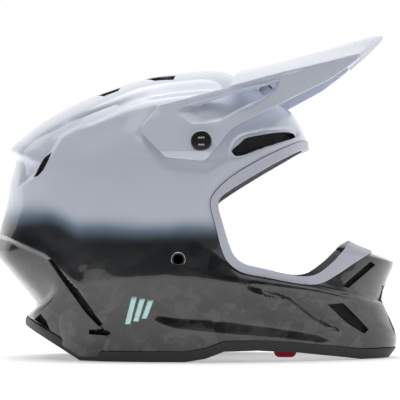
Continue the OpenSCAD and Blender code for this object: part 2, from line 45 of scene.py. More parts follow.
# Shader tools. A Flow is one socket's value; arithmetic on it adds Math nodes.
class Flow:
    def __init__(self, finish, socket):
        self.finish, self.socket = finish, socket

    def join(self, operation, first, second):
        node = self.finish.tree.nodes.new("ShaderNodeMath")
        node.operation = operation
        for slot, value in zip(node.inputs, (first, second)):
            self.finish.feed(slot, value)
        return Flow(self.finish, node.outputs[0])

    def __add__(self, other): return self.join("ADD", self, other)
    def __radd__(self, other): return self.join("ADD", other, self)
    def __sub__(self, other): return self.join("SUBTRACT", self, other)
    def __rsub__(self, other): return self.join("SUBTRACT", other, self)
    def __mul__(self, other): return self.join("MULTIPLY", self, other)
    def __rmul__(self, other): return self.join("MULTIPLY", other, self)
    def __truediv__(self, other): return self.join("DIVIDE", self, other)
    def __pow__(self, other): return self.join("POWER", self, other)


class Finish:
    def __init__(self, name):
        self.material = bpy.data.materials.new(name)
        self.material.use_nodes = True
        self.tree = self.material.node_tree
        self.shader = self.tree.nodes["Principled BSDF"]

    def feed(self, slot, value):
        if isinstance(value, Flow):
            self.tree.links.new(value.socket, slot)
        else:
            slot.default_value = value

    def node(self, kind, settings=None, inputs=None, out=0):
        node = self.tree.nodes.new(kind)
        for key, value in (settings or {}).items():
            if key == "stops":
                ramp = node.color_ramp
                while len(ramp.elements) < len(value):
                    ramp.elements.new(0.5)
                for element, (place, colour) in zip(ramp.elements, value):
                    element.position, element.color = place, (*colour, 1)
            else:
                setattr(node, key, value)
        for key, value in (inputs or {}).items():
            self.feed(node.inputs[key], value)
        return Flow(self, node.outputs[out])

    def place(self, stretch=(1, 1, 1), turn=(0, 0, 0)):
        here = self.node("ShaderNodeTexCoord", out=3)
        return self.node("ShaderNodeMapping", None,
                         {"Vector": here, "Scale": stretch, "Rotation": turn})

    def axes(self):
        here = self.node("ShaderNodeTexCoord", out=3)
        return [self.node("ShaderNodeSeparateXYZ", None, {0: here}, out=k) for k in range(3)]

    def noise(self, scale, detail=3, rough=0.55, where=None):
        return self.node("ShaderNodeTexNoise", None, {
            "Vector": where or self.place(), "Scale": scale, "Detail": detail, "Roughness": rough})

    def ease(self, value, low, high):
        return self.node("ShaderNodeMapRange", {"interpolation_type": "SMOOTHSTEP"},
                         {0: value, 1: low, 2: high})

    def blend(self, share, first, second):
        node = {"data_type": "RGBA", "clamp_factor": True}
        first = first if isinstance(first, Flow) else (*first, 1)
        second = second if isinstance(second, Flow) else (*second, 1)
        return self.node("ShaderNodeMix", node, {0: share, 6: first, 7: second}, out=2)

    def ramp(self, value, stops):
        return self.node("ShaderNodeValToRGB", {"stops": stops}, {0: value})

    def bump(self, height, strength, depth):
        return self.node("ShaderNodeBump", None,
                         {"Strength": strength, "Distance": depth, "Height": height})

    def wear(self, **values):
        for key, value in values.items():
            name = {"colour": "Base Color", "roughness": "Roughness", "metallic": "Metallic",
                    "coat": "Coat Weight", "coatRoughness": "Coat Roughness", "normal": "Normal",
                    "sheen": "Sheen Weight", "specular": "Specular IOR Level",
                    "sheenRoughness": "Sheen Roughness"}[key]
            if name == "Base Color" and not isinstance(value, Flow):
                value = (*value, 1)
            self.feed(self.shader.inputs[name], value)
        return self.material


# Finishes
# White above, carbon below, fading at a height (metres) that lifts towards the rear
paint = {"white": (0.67, 0.71, 0.815), "haze": (0.20, 0.27, 0.36), "dark": (0.007, 0.010, 0.013),
         "fadeZ": 0.1165, "fadeSpan": 0.036, "wobble": 0.012, "rearLift": 0.014,
         "rearFrom": -0.102, "rearTo": -0.138, "chipsFrom": 0.005, "chipsTo": 0.085,
         "coatRoughness": 0.035, "peelDepth": 0.0004}


def forgedChips(f):
    # pressed carbon chips: a tone for the roughness, and the colour
    warp = f.noise(26, 2)
    here = f.place((1.0, 1.25, 1.1), (0.5, 0.3, 0.7))
    bent = f.node("ShaderNodeMix", {"data_type": "VECTOR"}, {0: 0.012, 4: here, 5: f.node(
        "ShaderNodeTexNoise", None, {"Vector": here, "Scale": 42, "Detail": 2}, out=1)}, out=1)
    square = {"distance": "CHEBYCHEV"}
    big = f.node("ShaderNodeTexVoronoi", square, {"Vector": bent, "Scale": 78}, out=1)
    crossed = f.node("ShaderNodeMapping", None, {
        "Vector": bent, "Rotation": (0.3, 0.9, 0.2), "Scale": (1, 1, 2.6)})
    small = f.node("ShaderNodeTexVoronoi", square, {"Vector": crossed, "Scale": 92}, out=1)
    bigGrey = f.node("ShaderNodeSeparateColor", None, {0: big})
    smallGrey = f.node("ShaderNodeSeparateColor", None, {0: small}, out=1)
    grain = f.noise(420, 2, where=f.place((1, 1, 0.25), (0.4, 0.6, 0.2)))
    tone = bigGrey * 0.5 + smallGrey * 0.3 + grain * 0.25 + warp * 0.15
    return tone, f.ramp(tone, [
        (0.30, (0.004, 0.004, 0.005)), (0.50, (0.010, 0.009, 0.010)),
        (0.66, (0.023, 0.021, 0.021)), (0.84, (0.055, 0.050, 0.048))])


def makeShellFinish():
    f = Finish("shellLacquer")
    x, _, z = f.axes()
    tone, chips = forgedChips(f)
    rear = f.ease(x, paint["rearFrom"], paint["rearTo"])
    wobble = (f.noise(16, 2) - 0.5) * paint["wobble"]
    level = paint["fadeZ"] + rear * paint["rearLift"] + wobble
    gap = level - z
    bare = f.ease(gap, -paint["fadeSpan"] / 2, paint["fadeSpan"] / 2)
    cloud = f.noise(9, 2)
    white = f.blend(cloud, paint["white"], tuple(c * 0.97 for c in paint["white"]))
    dark = f.blend(f.ease(gap, paint["chipsFrom"], paint["chipsTo"]), paint["dark"], chips)
    speck = f.noise(2600, 1)
    haze = f.blend(f.ease(bare, 0.0, 0.62), white, paint["haze"])
    colour = f.blend(f.ease(bare, 0.38, 1.0), haze, dark)
    rough = 0.30 + tone * 0.16
    peel = f.bump(f.noise(170, 2) + speck * 0.05, 0.10, paint["peelDepth"])
    return f.wear(colour=colour, roughness=rough, coat=1.0,
                  coatRoughness=paint["coatRoughness"], normal=peel)


def makePeakFinish():
    f = Finish("peakLacquer")
    cloud = f.noise(8, 2)
    fleck = f.noise(1900, 1)
    shade = tuple(c * 0.95 for c in paint["white"])
    colour = f.blend(cloud * 0.6 + fleck * 0.4, paint["white"], shade)
    peel = f.bump(f.noise(190, 2), 0.08, paint["peelDepth"])
    return f.wear(colour=colour, roughness=0.34 + fleck * 0.08, coat=0.8, coatRoughness=0.05,
                  normal=peel)


def makeRubber(name, colour, rough, grainSize=900):
    f = Finish(name)
    grain = f.noise(grainSize, 3)
    dust = f.ease(f.noise(30, 4), 0.55, 0.8)
    shade = f.blend(dust * 0.25, colour, tuple(min(1, c * 1.25 + 0.02) for c in colour))
    return f.wear(colour=shade, roughness=rough + grain * 0.12, normal=f.bump(grain, 0.25, 0.0002))


def makeFoam():
    f = Finish("foamBeads")
    here = f.place()
    beads = f.node("ShaderNodeTexVoronoi", None, {"Vector": here, "Scale": 330})
    cell = f.node("ShaderNodeTexVoronoi", None, {"Vector": here, "Scale": 330}, out=1)
    tone = f.node("ShaderNodeSeparateColor", None, {0: cell})
    colour = f.blend(tone, (0.030, 0.031, 0.033), (0.055, 0.056, 0.060))
    return f.wear(colour=colour, roughness=0.72 + tone * 0.1,
                  normal=f.bump(1 - beads, 0.45, 0.0006))


def makeCloth(name, colour, threads, sheen, tuft=0.5):
    f = Finish(name)
    across = f.node("ShaderNodeTexWave", {"bands_direction": "Z"},
                    {"Vector": f.place(), "Scale": threads, "Distortion": 0.6})
    alongX = f.node("ShaderNodeTexWave", {"bands_direction": "DIAGONAL"},
                    {"Vector": f.place((1, 1, 0.4)), "Scale": threads, "Distortion": 0.6})
    weave = across * alongX
    fuzz = f.noise(700, 3)
    rub = f.noise(22, 3)
    light = tuple(min(1, c * 1.7 + 0.02) for c in colour)
    shade = f.blend(weave * 0.5 + fuzz * 0.3 + rub * 0.25, colour, light)
    return f.wear(colour=shade, roughness=0.85 + rub * 0.1, sheen=sheen, sheenRoughness=0.5,
                  specular=0.2, normal=f.bump(weave + fuzz * tuft, 0.5, 0.0005))


def makeWebbing():
    f = Finish("webbingWeave")
    ribs = f.node("ShaderNodeTexWave", {"bands_direction": "Y"},
                  {"Vector": f.place((1, 1, 1)), "Scale": 330, "Distortion": 0.3})
    cross = f.node("ShaderNodeTexWave", {"bands_direction": "X"},
                   {"Vector": f.place((1, 1, 1)), "Scale": 190, "Distortion": 0.2})
    weave = ribs * 0.6 + cross * 0.4
    fuzz = f.noise(300, 2)
    shade = f.blend(weave * 0.7 + fuzz * 0.3, (0.008, 0.008, 0.009), (0.035, 0.036, 0.040))
    return f.wear(colour=shade, roughness=0.62 + weave * 0.2, sheen=0.25, sheenRoughness=0.4,
                  normal=f.bump(weave, 0.6, 0.0004))


def makeSteel():
    f = Finish("satinSteel")
    brushed = f.noise(60, 4, where=f.place((1, 14, 14)))
    stain = f.noise(45, 3)
    shade = f.blend(stain, (0.52, 0.53, 0.55), (0.66, 0.66, 0.67))
    return f.wear(colour=shade, metallic=1.0, roughness=0.22 + brushed * 0.2,
                  normal=f.bump(brushed, 0.12, 0.0002))


def makePlastic(name, colour, rough, shine=0.0):
    f = Finish(name)
    grain = f.noise(1500, 2)
    scuff = f.ease(f.noise(60, 5), 0.6, 0.75)
    shade = f.blend(scuff * 0.3, colour, tuple(c * 1.8 + 0.01 for c in colour))
    return f.wear(colour=shade, roughness=rough + grain * 0.15, coat=shine, coatRoughness=0.1,
                  normal=f.bump(grain, 0.15, 0.0002))


finish = {
    "shell": makeShellFinish(), "peak": makePeakFinish(),
    "paleRubber": makeRubber("paleRubber", (0.56, 0.58, 0.67), 0.42),
    "darkRubber": makeRubber("darkRubber", (0.012, 0.012, 0.013), 0.42),
    # near-black finish for the bead that paints the shadow of the gap round the eyeport trim
    "paintedShadowLine": makeRubber("seamShadow", (0.012, 0.012, 0.014), 0.8),
    "foam": makeFoam(), "comfort": makeCloth("comfortCloth", (0.030, 0.032, 0.036), 420, 0.35),
    "redTab": makeCloth("redTabWeave", (0.28, 0.006, 0.018), 520, 0.2),
    "webbing": makeWebbing(), "steel": makeSteel(),
    "black": makePlastic("ventPlastic", (0.012, 0.012, 0.013), 0.40),
    "insert": makePlastic("insertPlastic", (0.05, 0.05, 0.055), 0.5),
    "anodised": makePlastic("anodisedBlack", (0.010, 0.010, 0.011), 0.30, 0.3),
    "whiteMark": makePlastic("paleInk", (0.55, 0.56, 0.58), 0.5),
    "aqua": makePlastic("aquaInk", (0.56, 0.86, 0.86), 0.35, 1.0),
}
print("finishes made")


# Mesh tools. All lengths below are millimetres until a piece is made.
def linked(name, data):
    piece = bpy.data.objects.new(name, data)
    bpy.context.scene.collection.objects.link(piece)
    return piece


def makePiece(name, points, faces, material, smooth=True):
    mesh = bpy.data.meshes.new(name)
    mesh.from_pydata([tuple(p) for p in np.asarray(points) * mm], [], [tuple(f) for f in faces])
    mesh.validate()
    piece = linked(name, mesh)
    if material:
        mesh.materials.append(material)
    for polygon in mesh.polygons:
        polygon.use_smooth = smooth
    return piece


def settle(piece, body, replaced=()):
    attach(piece, body)
    if replaced:
        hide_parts(*replaced)
    return piece


def bake(piece):
    # turns the modifiers into plain mesh
    graph = bpy.context.evaluated_depsgraph_get()
    fresh = bpy.data.meshes.new_from_object(piece.evaluated_get(graph))
    piece.modifiers.clear()
    piece.data = fresh
    return piece


def cut(piece, cutter, operation="DIFFERENCE"):
    step = piece.modifiers.new("cut", "BOOLEAN")
    step.operation, step.object, step.solver = operation, cutter, "MANIFOLD"
    bake(piece)
    bpy.data.objects.remove(cutter)
    return piece


def faceOutward(piece):
    work = bmesh.new()
    work.from_mesh(piece.data)
    bmesh.ops.recalc_face_normals(work, faces=work.faces)
    work.to_mesh(piece.data)
    work.free()
    return piece


def curvePiece(name, curve, material):
    # turns a bevelled curve into a piece with one material
    source = linked(name, curve)
    graph = bpy.context.evaluated_depsgraph_get()
    mesh = bpy.data.meshes.new_from_object(source.evaluated_get(graph))
    bpy.data.objects.remove(source)
    mesh.materials.clear()
    mesh.materials.append(material)
    return linked(name, mesh)


def crisp(piece, angle=32):
    for polygon in piece.data.polygons:
        polygon.use_smooth = True
    piece.data.set_sharp_from_angle(angle=math.radians(angle))


def rounded(points, steps):
    # closed curve through all the points
    p = np.asarray(points, float)
    a, b, c, d = np.roll(p, 1, 0), p, np.roll(p, -1, 0), np.roll(p, -2, 0)
    t = (np.arange(steps) / steps)[None, :, None]
    a, b, c, d = (q[:, None, :] for q in (a, b, c, d))
    out = 0.5 * (2 * b + (c - a) * t + (2 * a - 5 * b + 4 * c - d) * t ** 2
                 + (3 * b - a - 3 * c + d) * t ** 3)
    return out.reshape(-1, p.shape[1])


def openCurve(points, steps):
    p = np.asarray(points, float)
    p = np.vstack([2 * p[0] - p[1], p, 2 * p[-1] - p[-2]])
    out = []
    for i in range(1, len(p) - 2):
        a, b, c, d = p[i - 1:i + 3]
        for t in np.arange(steps) / steps:
            out.append(0.5 * (2 * b + (c - a) * t + (2 * a - 5 * b + 4 * c - d) * t ** 2
                              + (3 * b - a - 3 * c + d) * t ** 3))
    return np.array(out + [p[-2]])


def grown(points, distance):
    p = np.asarray(points, float)
    run = np.roll(p, -1, 0) - np.roll(p, 1, 0)
    run /= np.linalg.norm(run, axis=1)[:, None]
    area = np.sum(p[:, 0] * np.roll(p[:, 1], -1) - np.roll(p[:, 0], -1) * p[:, 1])
    out = np.stack([run[:, 1], -run[:, 0]], 1) * np.sign(area)
    return p + distance * out


def ease(t):
    t = np.clip(t, 0, 1)
    return t * t * (3 - 2 * t)


def prism(outline, low=-400.0, high=400.0, axis="y"):
    # closed solid over an outline, along y or z
    p = np.asarray(outline, float)
    area = np.sum(p[:, 0] * np.roll(p[:, 1], -1) - np.roll(p[:, 0], -1) * p[:, 1])
    if area < 0:
        p = p[::-1]
    n = len(p)
    if axis == "y":
        points = [(a, low, b) for a, b in p] + [(a, high, b) for a, b in p]
        caps = [tuple(range(n)), tuple(range(2 * n - 1, n - 1, -1))]
        sides = [(i + n, (i + 1) % n + n, (i + 1) % n, i) for i in range(n)]
    else:
        points = [(a, b, low) for a, b in p] + [(a, b, high) for a, b in p]
        caps = [tuple(range(n - 1, -1, -1)), tuple(range(n, 2 * n))]
        sides = [(i, (i + 1) % n, (i + 1) % n + n, i + n) for i in range(n)]
    return makePiece("cutter", points, caps + sides, None, smooth=False)


def distanceTo(line, points):
    # distance to an open line, and on which side (+ to its left)
    line = np.asarray(line, float)
    best = np.full(len(points), 1e9)
    side = np.zeros(len(points))
    run = np.zeros(len(points))
    lengths = np.linalg.norm(np.diff(line, axis=0), axis=1)
    start = np.concatenate([[0], np.cumsum(lengths)])
    for k, (a, b) in enumerate(zip(line[:-1], line[1:])):
        ab = b - a
        t = np.clip(((points - a) @ ab) / (ab @ ab), 0, 1)
        near = a + t[:, None] * ab
        gap = np.linalg.norm(points - near, axis=1)
        turn = ab[0] * (points[:, 1] - a[1]) - ab[1] * (points[:, 0] - a[0])
        closer = gap < best - 1e-9
        best = np.where(closer, gap, best)
        side = np.where(closer, np.sign(turn), side)
        run = np.where(closer, start[k] + t * lengths[k], run)
    return best, side, run / start[-1]


def depthInside(outline, points):
    # how far inside a closed outline, negative outside
    closed = np.vstack([outline, outline[:1]])
    gap, _, _ = distanceTo(closed, points)
    inside = np.zeros(len(points), bool)
    for (x0, z0), (x1, z1) in zip(closed[:-1], closed[1:]):
        crosses = (z0 > points[:, 1]) != (z1 > points[:, 1])
        with np.errstate(divide="ignore", invalid="ignore"):
            at = x0 + (points[:, 1] - z0) * (x1 - x0) / (z1 - z0)
        inside ^= crosses & (points[:, 0] < at)
    return np.where(inside, gap, -gap)


# The shell's form: a side silhouette inflated to the shell's width, as in the CAD.
shell = {
    "core": (-20.0, 130.0), "roundness": 2.5, "bulge": 122.0, "wall": 4.0,
    "sharp": [(98, 203), (88, 222), (81, 228.5), (66, 239), (45, 253), (20, 263.5), (-12, 262.5),
              (-45, 257.5), (-80, 247), (-110, 235), (-140, 219), (-160, 204), (-173, 192),
              (-169, 180), (-172, 165), (-176, 144), (-181, 120), (-184, 98), (-171, 80),
              (-150, 55), (-147, 46), (-157, 31), (-140, 5), (-110, -45), (-40, -90), (60, -90),
              (140, -40), (170, -5), (183, 14), (177, 34), (170.5, 49), (169, 52),
              (170, 55.5), (174, 70), (179.5, 84),
              (177.5, 88.5), (158, 97), (136, 108), (122, 132), (110, 162), (101, 188)],
    "soft": [(96, 203), (86, 222), (79, 228.5), (64, 239.5), (44, 252.5), (20, 261), (-12, 262),
             (-45, 257), (-80, 247), (-110, 233), (-140, 215), (-155, 201), (-164, 189),
             (-169, 176), (-173, 160), (-175, 143), (-176, 120), (-173, 98), (-168, 80),
             (-162, 58), (-158, 46), (-152, 31), (-138, 5), (-108, -45), (-40, -90), (60, -90),
             (132, -40), (158, -5), (170, 14), (174, 34), (174, 49), (174, 52),
             (173.5, 55.5), (170, 70),
             (164.5, 84), (162.5, 89), (156, 102), (145, 118), (131, 138), (117, 162), (104, 188)],
}
# Lines of the side drawing, as seen from 1.95 m away.
drawn = {
    "ridge": [(-45.6, 238), (-62.3, 231.5), (-78.1, 225.4), (-105.1, 214.8), (-119.2, 207.6),
              (-127.4, 201.4), (-131.7, 193.4), (-136.2, 187.1), (-142.3, 175.7), (-146.9, 169.2),
              (-153.9, 164.8), (-164.6, 157.8)],
    "spine": [(-165.5, 171), (-166.5, 184.1), (-167.4, 193.4), (-153.9, 204.9), (-120.9, 221.3),
              (-92.1, 231.5), (-66, 241.7), (-45.6, 246.8)],
    "rearEdge": [(-176, 109.5), (-157.2, 101.3), (-140.7, 94.6), (-132.6, 88.6), (-122.6, 76.5),
                 (-107.5, 60.4), (-96.7, 41.8), (-88.4, 26)],
    "rearRest": [(-82.8, 17.6), (-92, -8), (-120, -20), (-175, 10), (-205, 92.9), (-190, 113)],
    "crease": [(-180, 92), (-129.3, 84), (-107, 68), (-93, 69), (-69.8, 70.6), (-30.7, 73),
               (10.2, 68.8), (44.6, 64.1), (80, 61.3), (110.7, 58.5), (136.7, 52.9),
               (158.1, 48.8), (185, 41)],
    "creasePush": [(-180, 3), (-120, 6.5), (-90, 6.5), (-60, 6), (0, 6), (60, 6.5), (110, 5.5),
                   (150, 2.5), (185, 0)],
    "shoulderTop": [(-180, 138), (-60, 118), (-10, 112), (22, 88), (38, 78), (60, 74), (80, 70.5),
                    (108, 65.5), (125, 61.5), (185, 48)],
    "shoulderLow": [(-180, 95), (-129.3, 87), (-107, 72), (-93, 72), (-69.8, 74), (-30.7, 76.5),
                    (10.2, 74), (38, 71), (60, 68), (80, 65.5), (110, 61.5), (125, 58), (185, 44)],
    "lensTop": [(-200, 38.1), (-47.4, 38.1), (-25.1, 35.2), (10.2, 34.3), (51.2, 30.2),
                (88.9, 24.4), (110.3, 20.4), (126.3, 15.5), (200, 13)],
    "lensLow": [(-200, 36.5), (-47.4, 36.4), (-20.5, 26), (10.2, 21.7), (67.6, 16.6),
                (104.9, 12.4), (126.3, 11), (200, 9)],
    "sweep": [(33.5, 63.7), (54.9, 59.4), (72.9, 55.2), (83.7, 52), (93.9, 43.6), (110.3, 31.7),
              (126.3, 24.1), (134, 20)],
    "browScoop": [(27, 190), (30, 200), (38.1, 207.5), (59.5, 212.5), (81.8, 214), (92.1, 212),
                  (95.5, 207), (91.7, 202.7), (59.5, 190.5), (36.3, 181.2), (28, 183.5)],
    "flute": [(-125, 215), (-101, 221), (-78, 231.5), (-55, 240.3), (-32, 245.5), (0, 249),
              (30, 249)],
    "armSeat": [(-72, 188), (-36.3, 184.6), (0.9, 180), (32, 183)],
    "armZone": [(-62, 204), (-34, 172), (8, 168), (36, 186), (26, 216), (-44, 234)],
}
viewDistance = 1950.0
eyeHeight = 92.0


def drawnPlace(p):
    near = 1 - np.abs(p[:, 1]) / viewDistance
    return np.stack([p[:, 0] / near, eyeHeight + (p[:, 2] - eyeHeight) / near], 1)


# How strongly each line is pressed in or raised
press = {"lensIn": 2.6, "lensLip": 1.6, "channel": 3.0, "ridge": 2.4, "ridgeWidth": 11.0,
         "flute": 1.8, "fluteLip": 0.9, "rearIn": 3.2, "rearLip": 2.0, "rearBulge": 4.5,
         "rearLean": 0.07, "sweepLip": 3.4, "sweepIn": 2.6, "browScoop": 3.6, "armIn": 0.9,
         "armLip": 0.9, "softFrom": 2.2, "softRoom": 1.6}


def along(line, u):
    return np.interp(u, *zip(*drawn[line]))


def bell(gap, width):
    return np.exp(-(gap / width) ** 2)


def trail(gap, length):
    return np.exp(-np.maximum(gap, 0) / length)


def ends(run, first, last):
    # fades a pressed line in and out along its run
    return ease(run / first) * ease((1 - run) / last)


def wallRelief(u, v):
    # side wall: upright down to the crease, then waisted, with a shelf low down
    push = along("creasePush", u)
    here = ease((u + 50) / 22) * ease((134 - u) / 26)
    atTop = -press["lensIn"] * here + (1 - here) * push * 0.45
    atLow = press["lensLip"] * here + (1 - here) * push * 0.42
    knots = [(150 + 0 * u, 0 * u),
             (along("shoulderTop", u), push * 0.25 * ease((30 - u) / 40) - 0.3),
             (along("shoulderLow", u), push * 0.98), (along("crease", u), push),
             (along("lensTop", u), atTop), (along("lensLow", u), atLow),
             (4 + 0 * u, 0 * u), (-200 + 0 * u, 0 * u)]
    wall = np.zeros(len(u))
    for (v0, d0), (v1, d1) in zip(knots[:-1], knots[1:]):
        t = (v0 - v) / np.maximum(v0 - v1, 0.5)
        wall = np.where((v <= v0) & (v > v1), d0 + (d1 - d0) * t, wall)
    return wall


def relief(p):
    # how far the surface stands out (+) or is let in (-) at each point
    at = drawnPlace(p)
    u, v = at[:, 0], at[:, 1]
    out = wallRelief(u, v)
    # channel between the side ridge and the spine
    depth = depthInside(np.array(drawn["ridge"] + drawn["spine"]), at)
    fade = ease((-44 - u) / 60) * ease((np.abs(p[:, 1]) - 14) / 24)
    out -= press["channel"] * ease((depth + 1) / 8) * fade
    gap, _, _ = distanceTo(drawn["ridge"], at)
    out += press["ridge"] * bell(gap, press["ridgeWidth"]) * (1 - ease((depth + 1) / 4)) \
        * ease((-30 - u) / 40)
    # shallow flute over the crown
    gap, _, run = distanceTo(drawn["flute"], at)
    out -= press["flute"] * bell(gap, 4.5) * ends(run, 0.2, 0.2)
    out += press["fluteLip"] * bell(gap - 9, 5) * ends(run, 0.2, 0.2)
    # rear quarter panel, let in behind the side panel's edge
    depth = depthInside(np.array(drawn["rearEdge"] + drawn["rearRest"]), at)
    gap, _, run = distanceTo(drawn["rearEdge"], at)
    flank = ease((np.abs(p[:, 1]) - 20) / 35)
    out -= press["rearIn"] * ease((depth + 1) / 4.2) * trail(gap - 8, 45) * flank
    out += press["rearLip"] * bell(gap, 7) * (1 - ease((depth + 2) / 3)) * flank
    out += press["rearBulge"] * bell(np.abs(p[:, 1]) - 56, 24) * ease((-95 - u) / 45) \
        * ease((112 - v) / 25)
    lean = press["rearLean"] * np.clip(94 - v, 0, 60)
    out -= np.where(depth > 0, ease(depth / 6) * lean, 0) * flank
    # chin sweep: a trough above its line
    gap, where, run = distanceTo(drawn["sweep"], at)
    above = np.where(where > 0, gap, -gap)
    near = ends(run, 0.25, 0.15) * (gap < 60)
    rise = ease((above + 1.5) / 4.5)
    out += press["sweepLip"] * trail(-above, 12) * (1 - rise) * near
    out -= press["sweepIn"] * rise * trail(above - 4, 9) * near
    # brow scoop
    out -= press["browScoop"] * ease(depthInside(np.array(drawn["browScoop"]), at) / 5)
    # faint seat under the peak's arm, let in so that the arm swings clear
    out -= press["armIn"] * ease(depthInside(np.array(drawn["armZone"]), at) / 6)
    gap, where, run = distanceTo(drawn["armSeat"], at)
    below = np.where(where < 0, gap, -gap)
    out += press["armLip"] * ease((below + 2) / 4) * trail(below, 14) * ends(run, 0.2, 0.2) \
        * (gap < 60)
    # the deepest places ease off, so that the wall keeps its thickness
    soft, room = press["softFrom"], press["softRoom"]
    out = np.where(out < -soft, -soft - room * (1 - np.exp((out + soft) / room)), out)
    return out * ease((np.abs(p[:, 1]) - 5) / 22)


def skinPoints(steps, rings, inset=0.0):
    sharp, soft = rounded(shell["sharp"], steps), rounded(shell["soft"], steps)
    core, n = np.array(shell["core"]), shell["roundness"]
    if inset:
        sharp, soft = grown(sharp, -inset), grown(soft, -inset)
    count = len(sharp)
    rows = []
    for j in range(rings):
        rho = math.cos(math.pi / 2 * j / rings) ** (2 / n)
        edge = soft + (sharp - soft) * ease((rho - 0.72) / 0.22)
        p = core + (edge - core) * rho
        taper = 1 - 0.0018 * np.maximum(0, p[:, 0]) * (1 - ease((p[:, 1] - 120) / 80))
        y = (shell["bulge"] - inset) * (1 - rho ** n) ** (1 / n) * taper
        rows.append(np.stack([p[:, 0], y, p[:, 1]], 1))
    pole = np.array([[core[0], shell["bulge"] - inset, core[1]]])
    flip = np.array([1, -1, 1])
    points = np.vstack([rows[0] * [1, 0, 1]] + rows[1:] + [pole]
                       + [r * flip for r in rows[1:]] + [pole * flip])
    left = np.arange(count * rings).reshape(rings, count)
    right = left + count * (rings - 1) + 1
    right[0] = left[0]
    faces = []
    for grid, tip, turned in ((left, count * rings, False),
                              (right, len(points) - 1, True)):
        nxt = np.roll(grid, -1, 1)
        quads = np.stack([grid[:-1], nxt[:-1], nxt[1:], grid[1:]], -1).reshape(-1, 4)
        caps = np.stack([grid[-1], nxt[-1], np.full(count, tip)], -1)
        if turned:
            quads, caps = quads[:, ::-1], caps[:, ::-1]
        faces += quads.tolist() + caps.tolist()
    return points, faces


def normalsOf(points, faces):
    out = np.zeros_like(points)
    for size in (3, 4):
        f = np.array([q for q in faces if len(q) == size])
        if not len(f):
            continue
        a, b, c = points[f[:, 0]], points[f[:, 1]], points[f[:, 2]]
        d = points[f[:, -1]]
        n = np.cross(b - a, d - a) if size == 3 else np.cross(c - a, d - b)
        for k in range(size):
            np.add.at(out, f[:, k], n)
    return out / np.maximum(np.linalg.norm(out, axis=1), 1e-9)[:, None]


def outerSkin(steps, rings, lift=0.0):
    points, faces = skinPoints(steps, rings)
    normals = normalsOf(points, faces)
    if normals[0] @ (points[0] - [-20, 0, 130]) < 0:
        normals, faces = -normals, [f[::-1] for f in faces]
    return points + normals * (relief(points) + lift)[:, None], faces


def layerPiece(name, steps, rings, lift, inset, material):
    # closed layer between the skin raised by lift and the smooth skin at a depth
    outer, faces = outerSkin(steps, rings, lift)
    inner, innerFaces = skinPoints(max(2, steps // 3), max(12, rings // 4), inset)
    normals = normalsOf(inner, innerFaces)
    if normals[0] @ (inner[0] - [-20, 0, 130]) > 0:
        innerFaces = [f[::-1] for f in innerFaces]
        normals = -normals
    inner = inner + normals * np.minimum(relief(inner), 0)[:, None]
    shifted = [[k + len(outer) for k in f] for f in innerFaces]
    return makePiece(name, np.vstack([outer, inner]), faces + shifted, material)


# The shell's skin as a surface to drop small parts onto.
skinP, skinF = outerSkin(6, 60)
skinTree = BVHTree.FromPolygons([Vector(p) for p in skinP], skinF)


def onSkin(x, z, side, lift=0.0):
    hit, normal, _, _ = skinTree.ray_cast(Vector((x, side * 300, z)), Vector((0, -side, 0)))
    if hit is None:
        hit, normal, _, _ = skinTree.find_nearest(Vector((x, side * 60, z)))
    if normal.dot(hit - Vector((-20, 0, 130))) < 0:
        normal = -normal
    return np.array(hit + normal * lift)


print("skin ready,", len(skinP), "points")

# Openings, as in the CAD
eyeportLip = rounded([(19, 144), (17, 136), (20, 124), (26, 104), (31, 93), (40, 86), (56, 82),
                      (74, 78), (92, 75), (105, 77), (119, 87), (130, 98), (140, 108), (172, 128),
                      (190, 160), (150, 185), (112, 191), (96, 190), (80, 182), (62, 172),
                      (42, 160), (28, 151)], 6)
eyeportBorder = rounded([(10.5, 142), (11.5, 130), (15, 117), (20, 98), (26, 87), (38, 78.5),
                         (62, 73.5), (92, 68), (108, 68.5), (123, 76), (142, 88), (158, 97),
                         (186, 112), (205, 160), (160, 196), (112, 199), (94, 197), (78, 190),
                         (58, 180), (34, 166), (19, 154)], 6)
baseLine = [(-200, 56), (-158, 30), (-106, 0), (-12, 0), (6, 3), (22, 9), (52, 9.5), (90, 7),
            (132, 2), (146, 0), (200, 0)]
vents = {
    "brow": [(28.9, 184.3), (31.4, 181), (35.7, 180.8), (41.9, 182.6), (56.3, 188.5), (75.9, 195.3),
             (85.4, 198.8), (86.3, 201.1), (84.4, 203.3), (78.4, 203.9), (68.6, 202.8),
             (56.3, 200.4), (46.6, 198.3), (40.4, 196.3), (34.7, 190.9), (29.8, 186.7)],
    "rear": [(-147.4, 163), (-143, 163.8), (-137.6, 169.4), (-133.6, 177), (-130.6, 185.4),
             (-137.4, 180.6), (-142.4, 172.6)],
    "rearSlot": [(-134, 90), (-122, 73), (-100, 43), (-88, 31), (-84, 33), (-110, 66), (-129, 90)],
    "rearPort": [(-97, 24), (-80, 23), (-77, 25.5), (-80, 28), (-97, 28)],
    "tail": [(-148, 36), (-141.8, 41.5), (-136.2, 34.6), (-133, 25.5)],
    "chin": [(114, 50), (132, 33), (149, 23), (153, 27), (129, 51)],
    "cheek": [(128, 66), (134, 64), (160, 85), (155, 88)],
}
crownVents = [[(-50, 35), (-21, 49), (-23, 63), (-40, 57)],
              [(-92, 42), (-71, 44), (-73, 56), (-86, 57)]]
mouth = {"halfWidth": 25.0, "low": 22.0, "high": 66.0}
pivot = (2.0, 193.0)
anchor = (-18.0, 90.0)


def baseStrip(low, high):
    return [(x, z + low) for x, z in baseLine] + [(x, z + high) for x, z in reversed(baseLine)]


def disc(centre, radius, count=40):
    a = np.arange(count) * 2 * math.pi / count
    return np.stack([centre[0] + radius * np.cos(a), centre[1] + radius * np.sin(a)], 1)


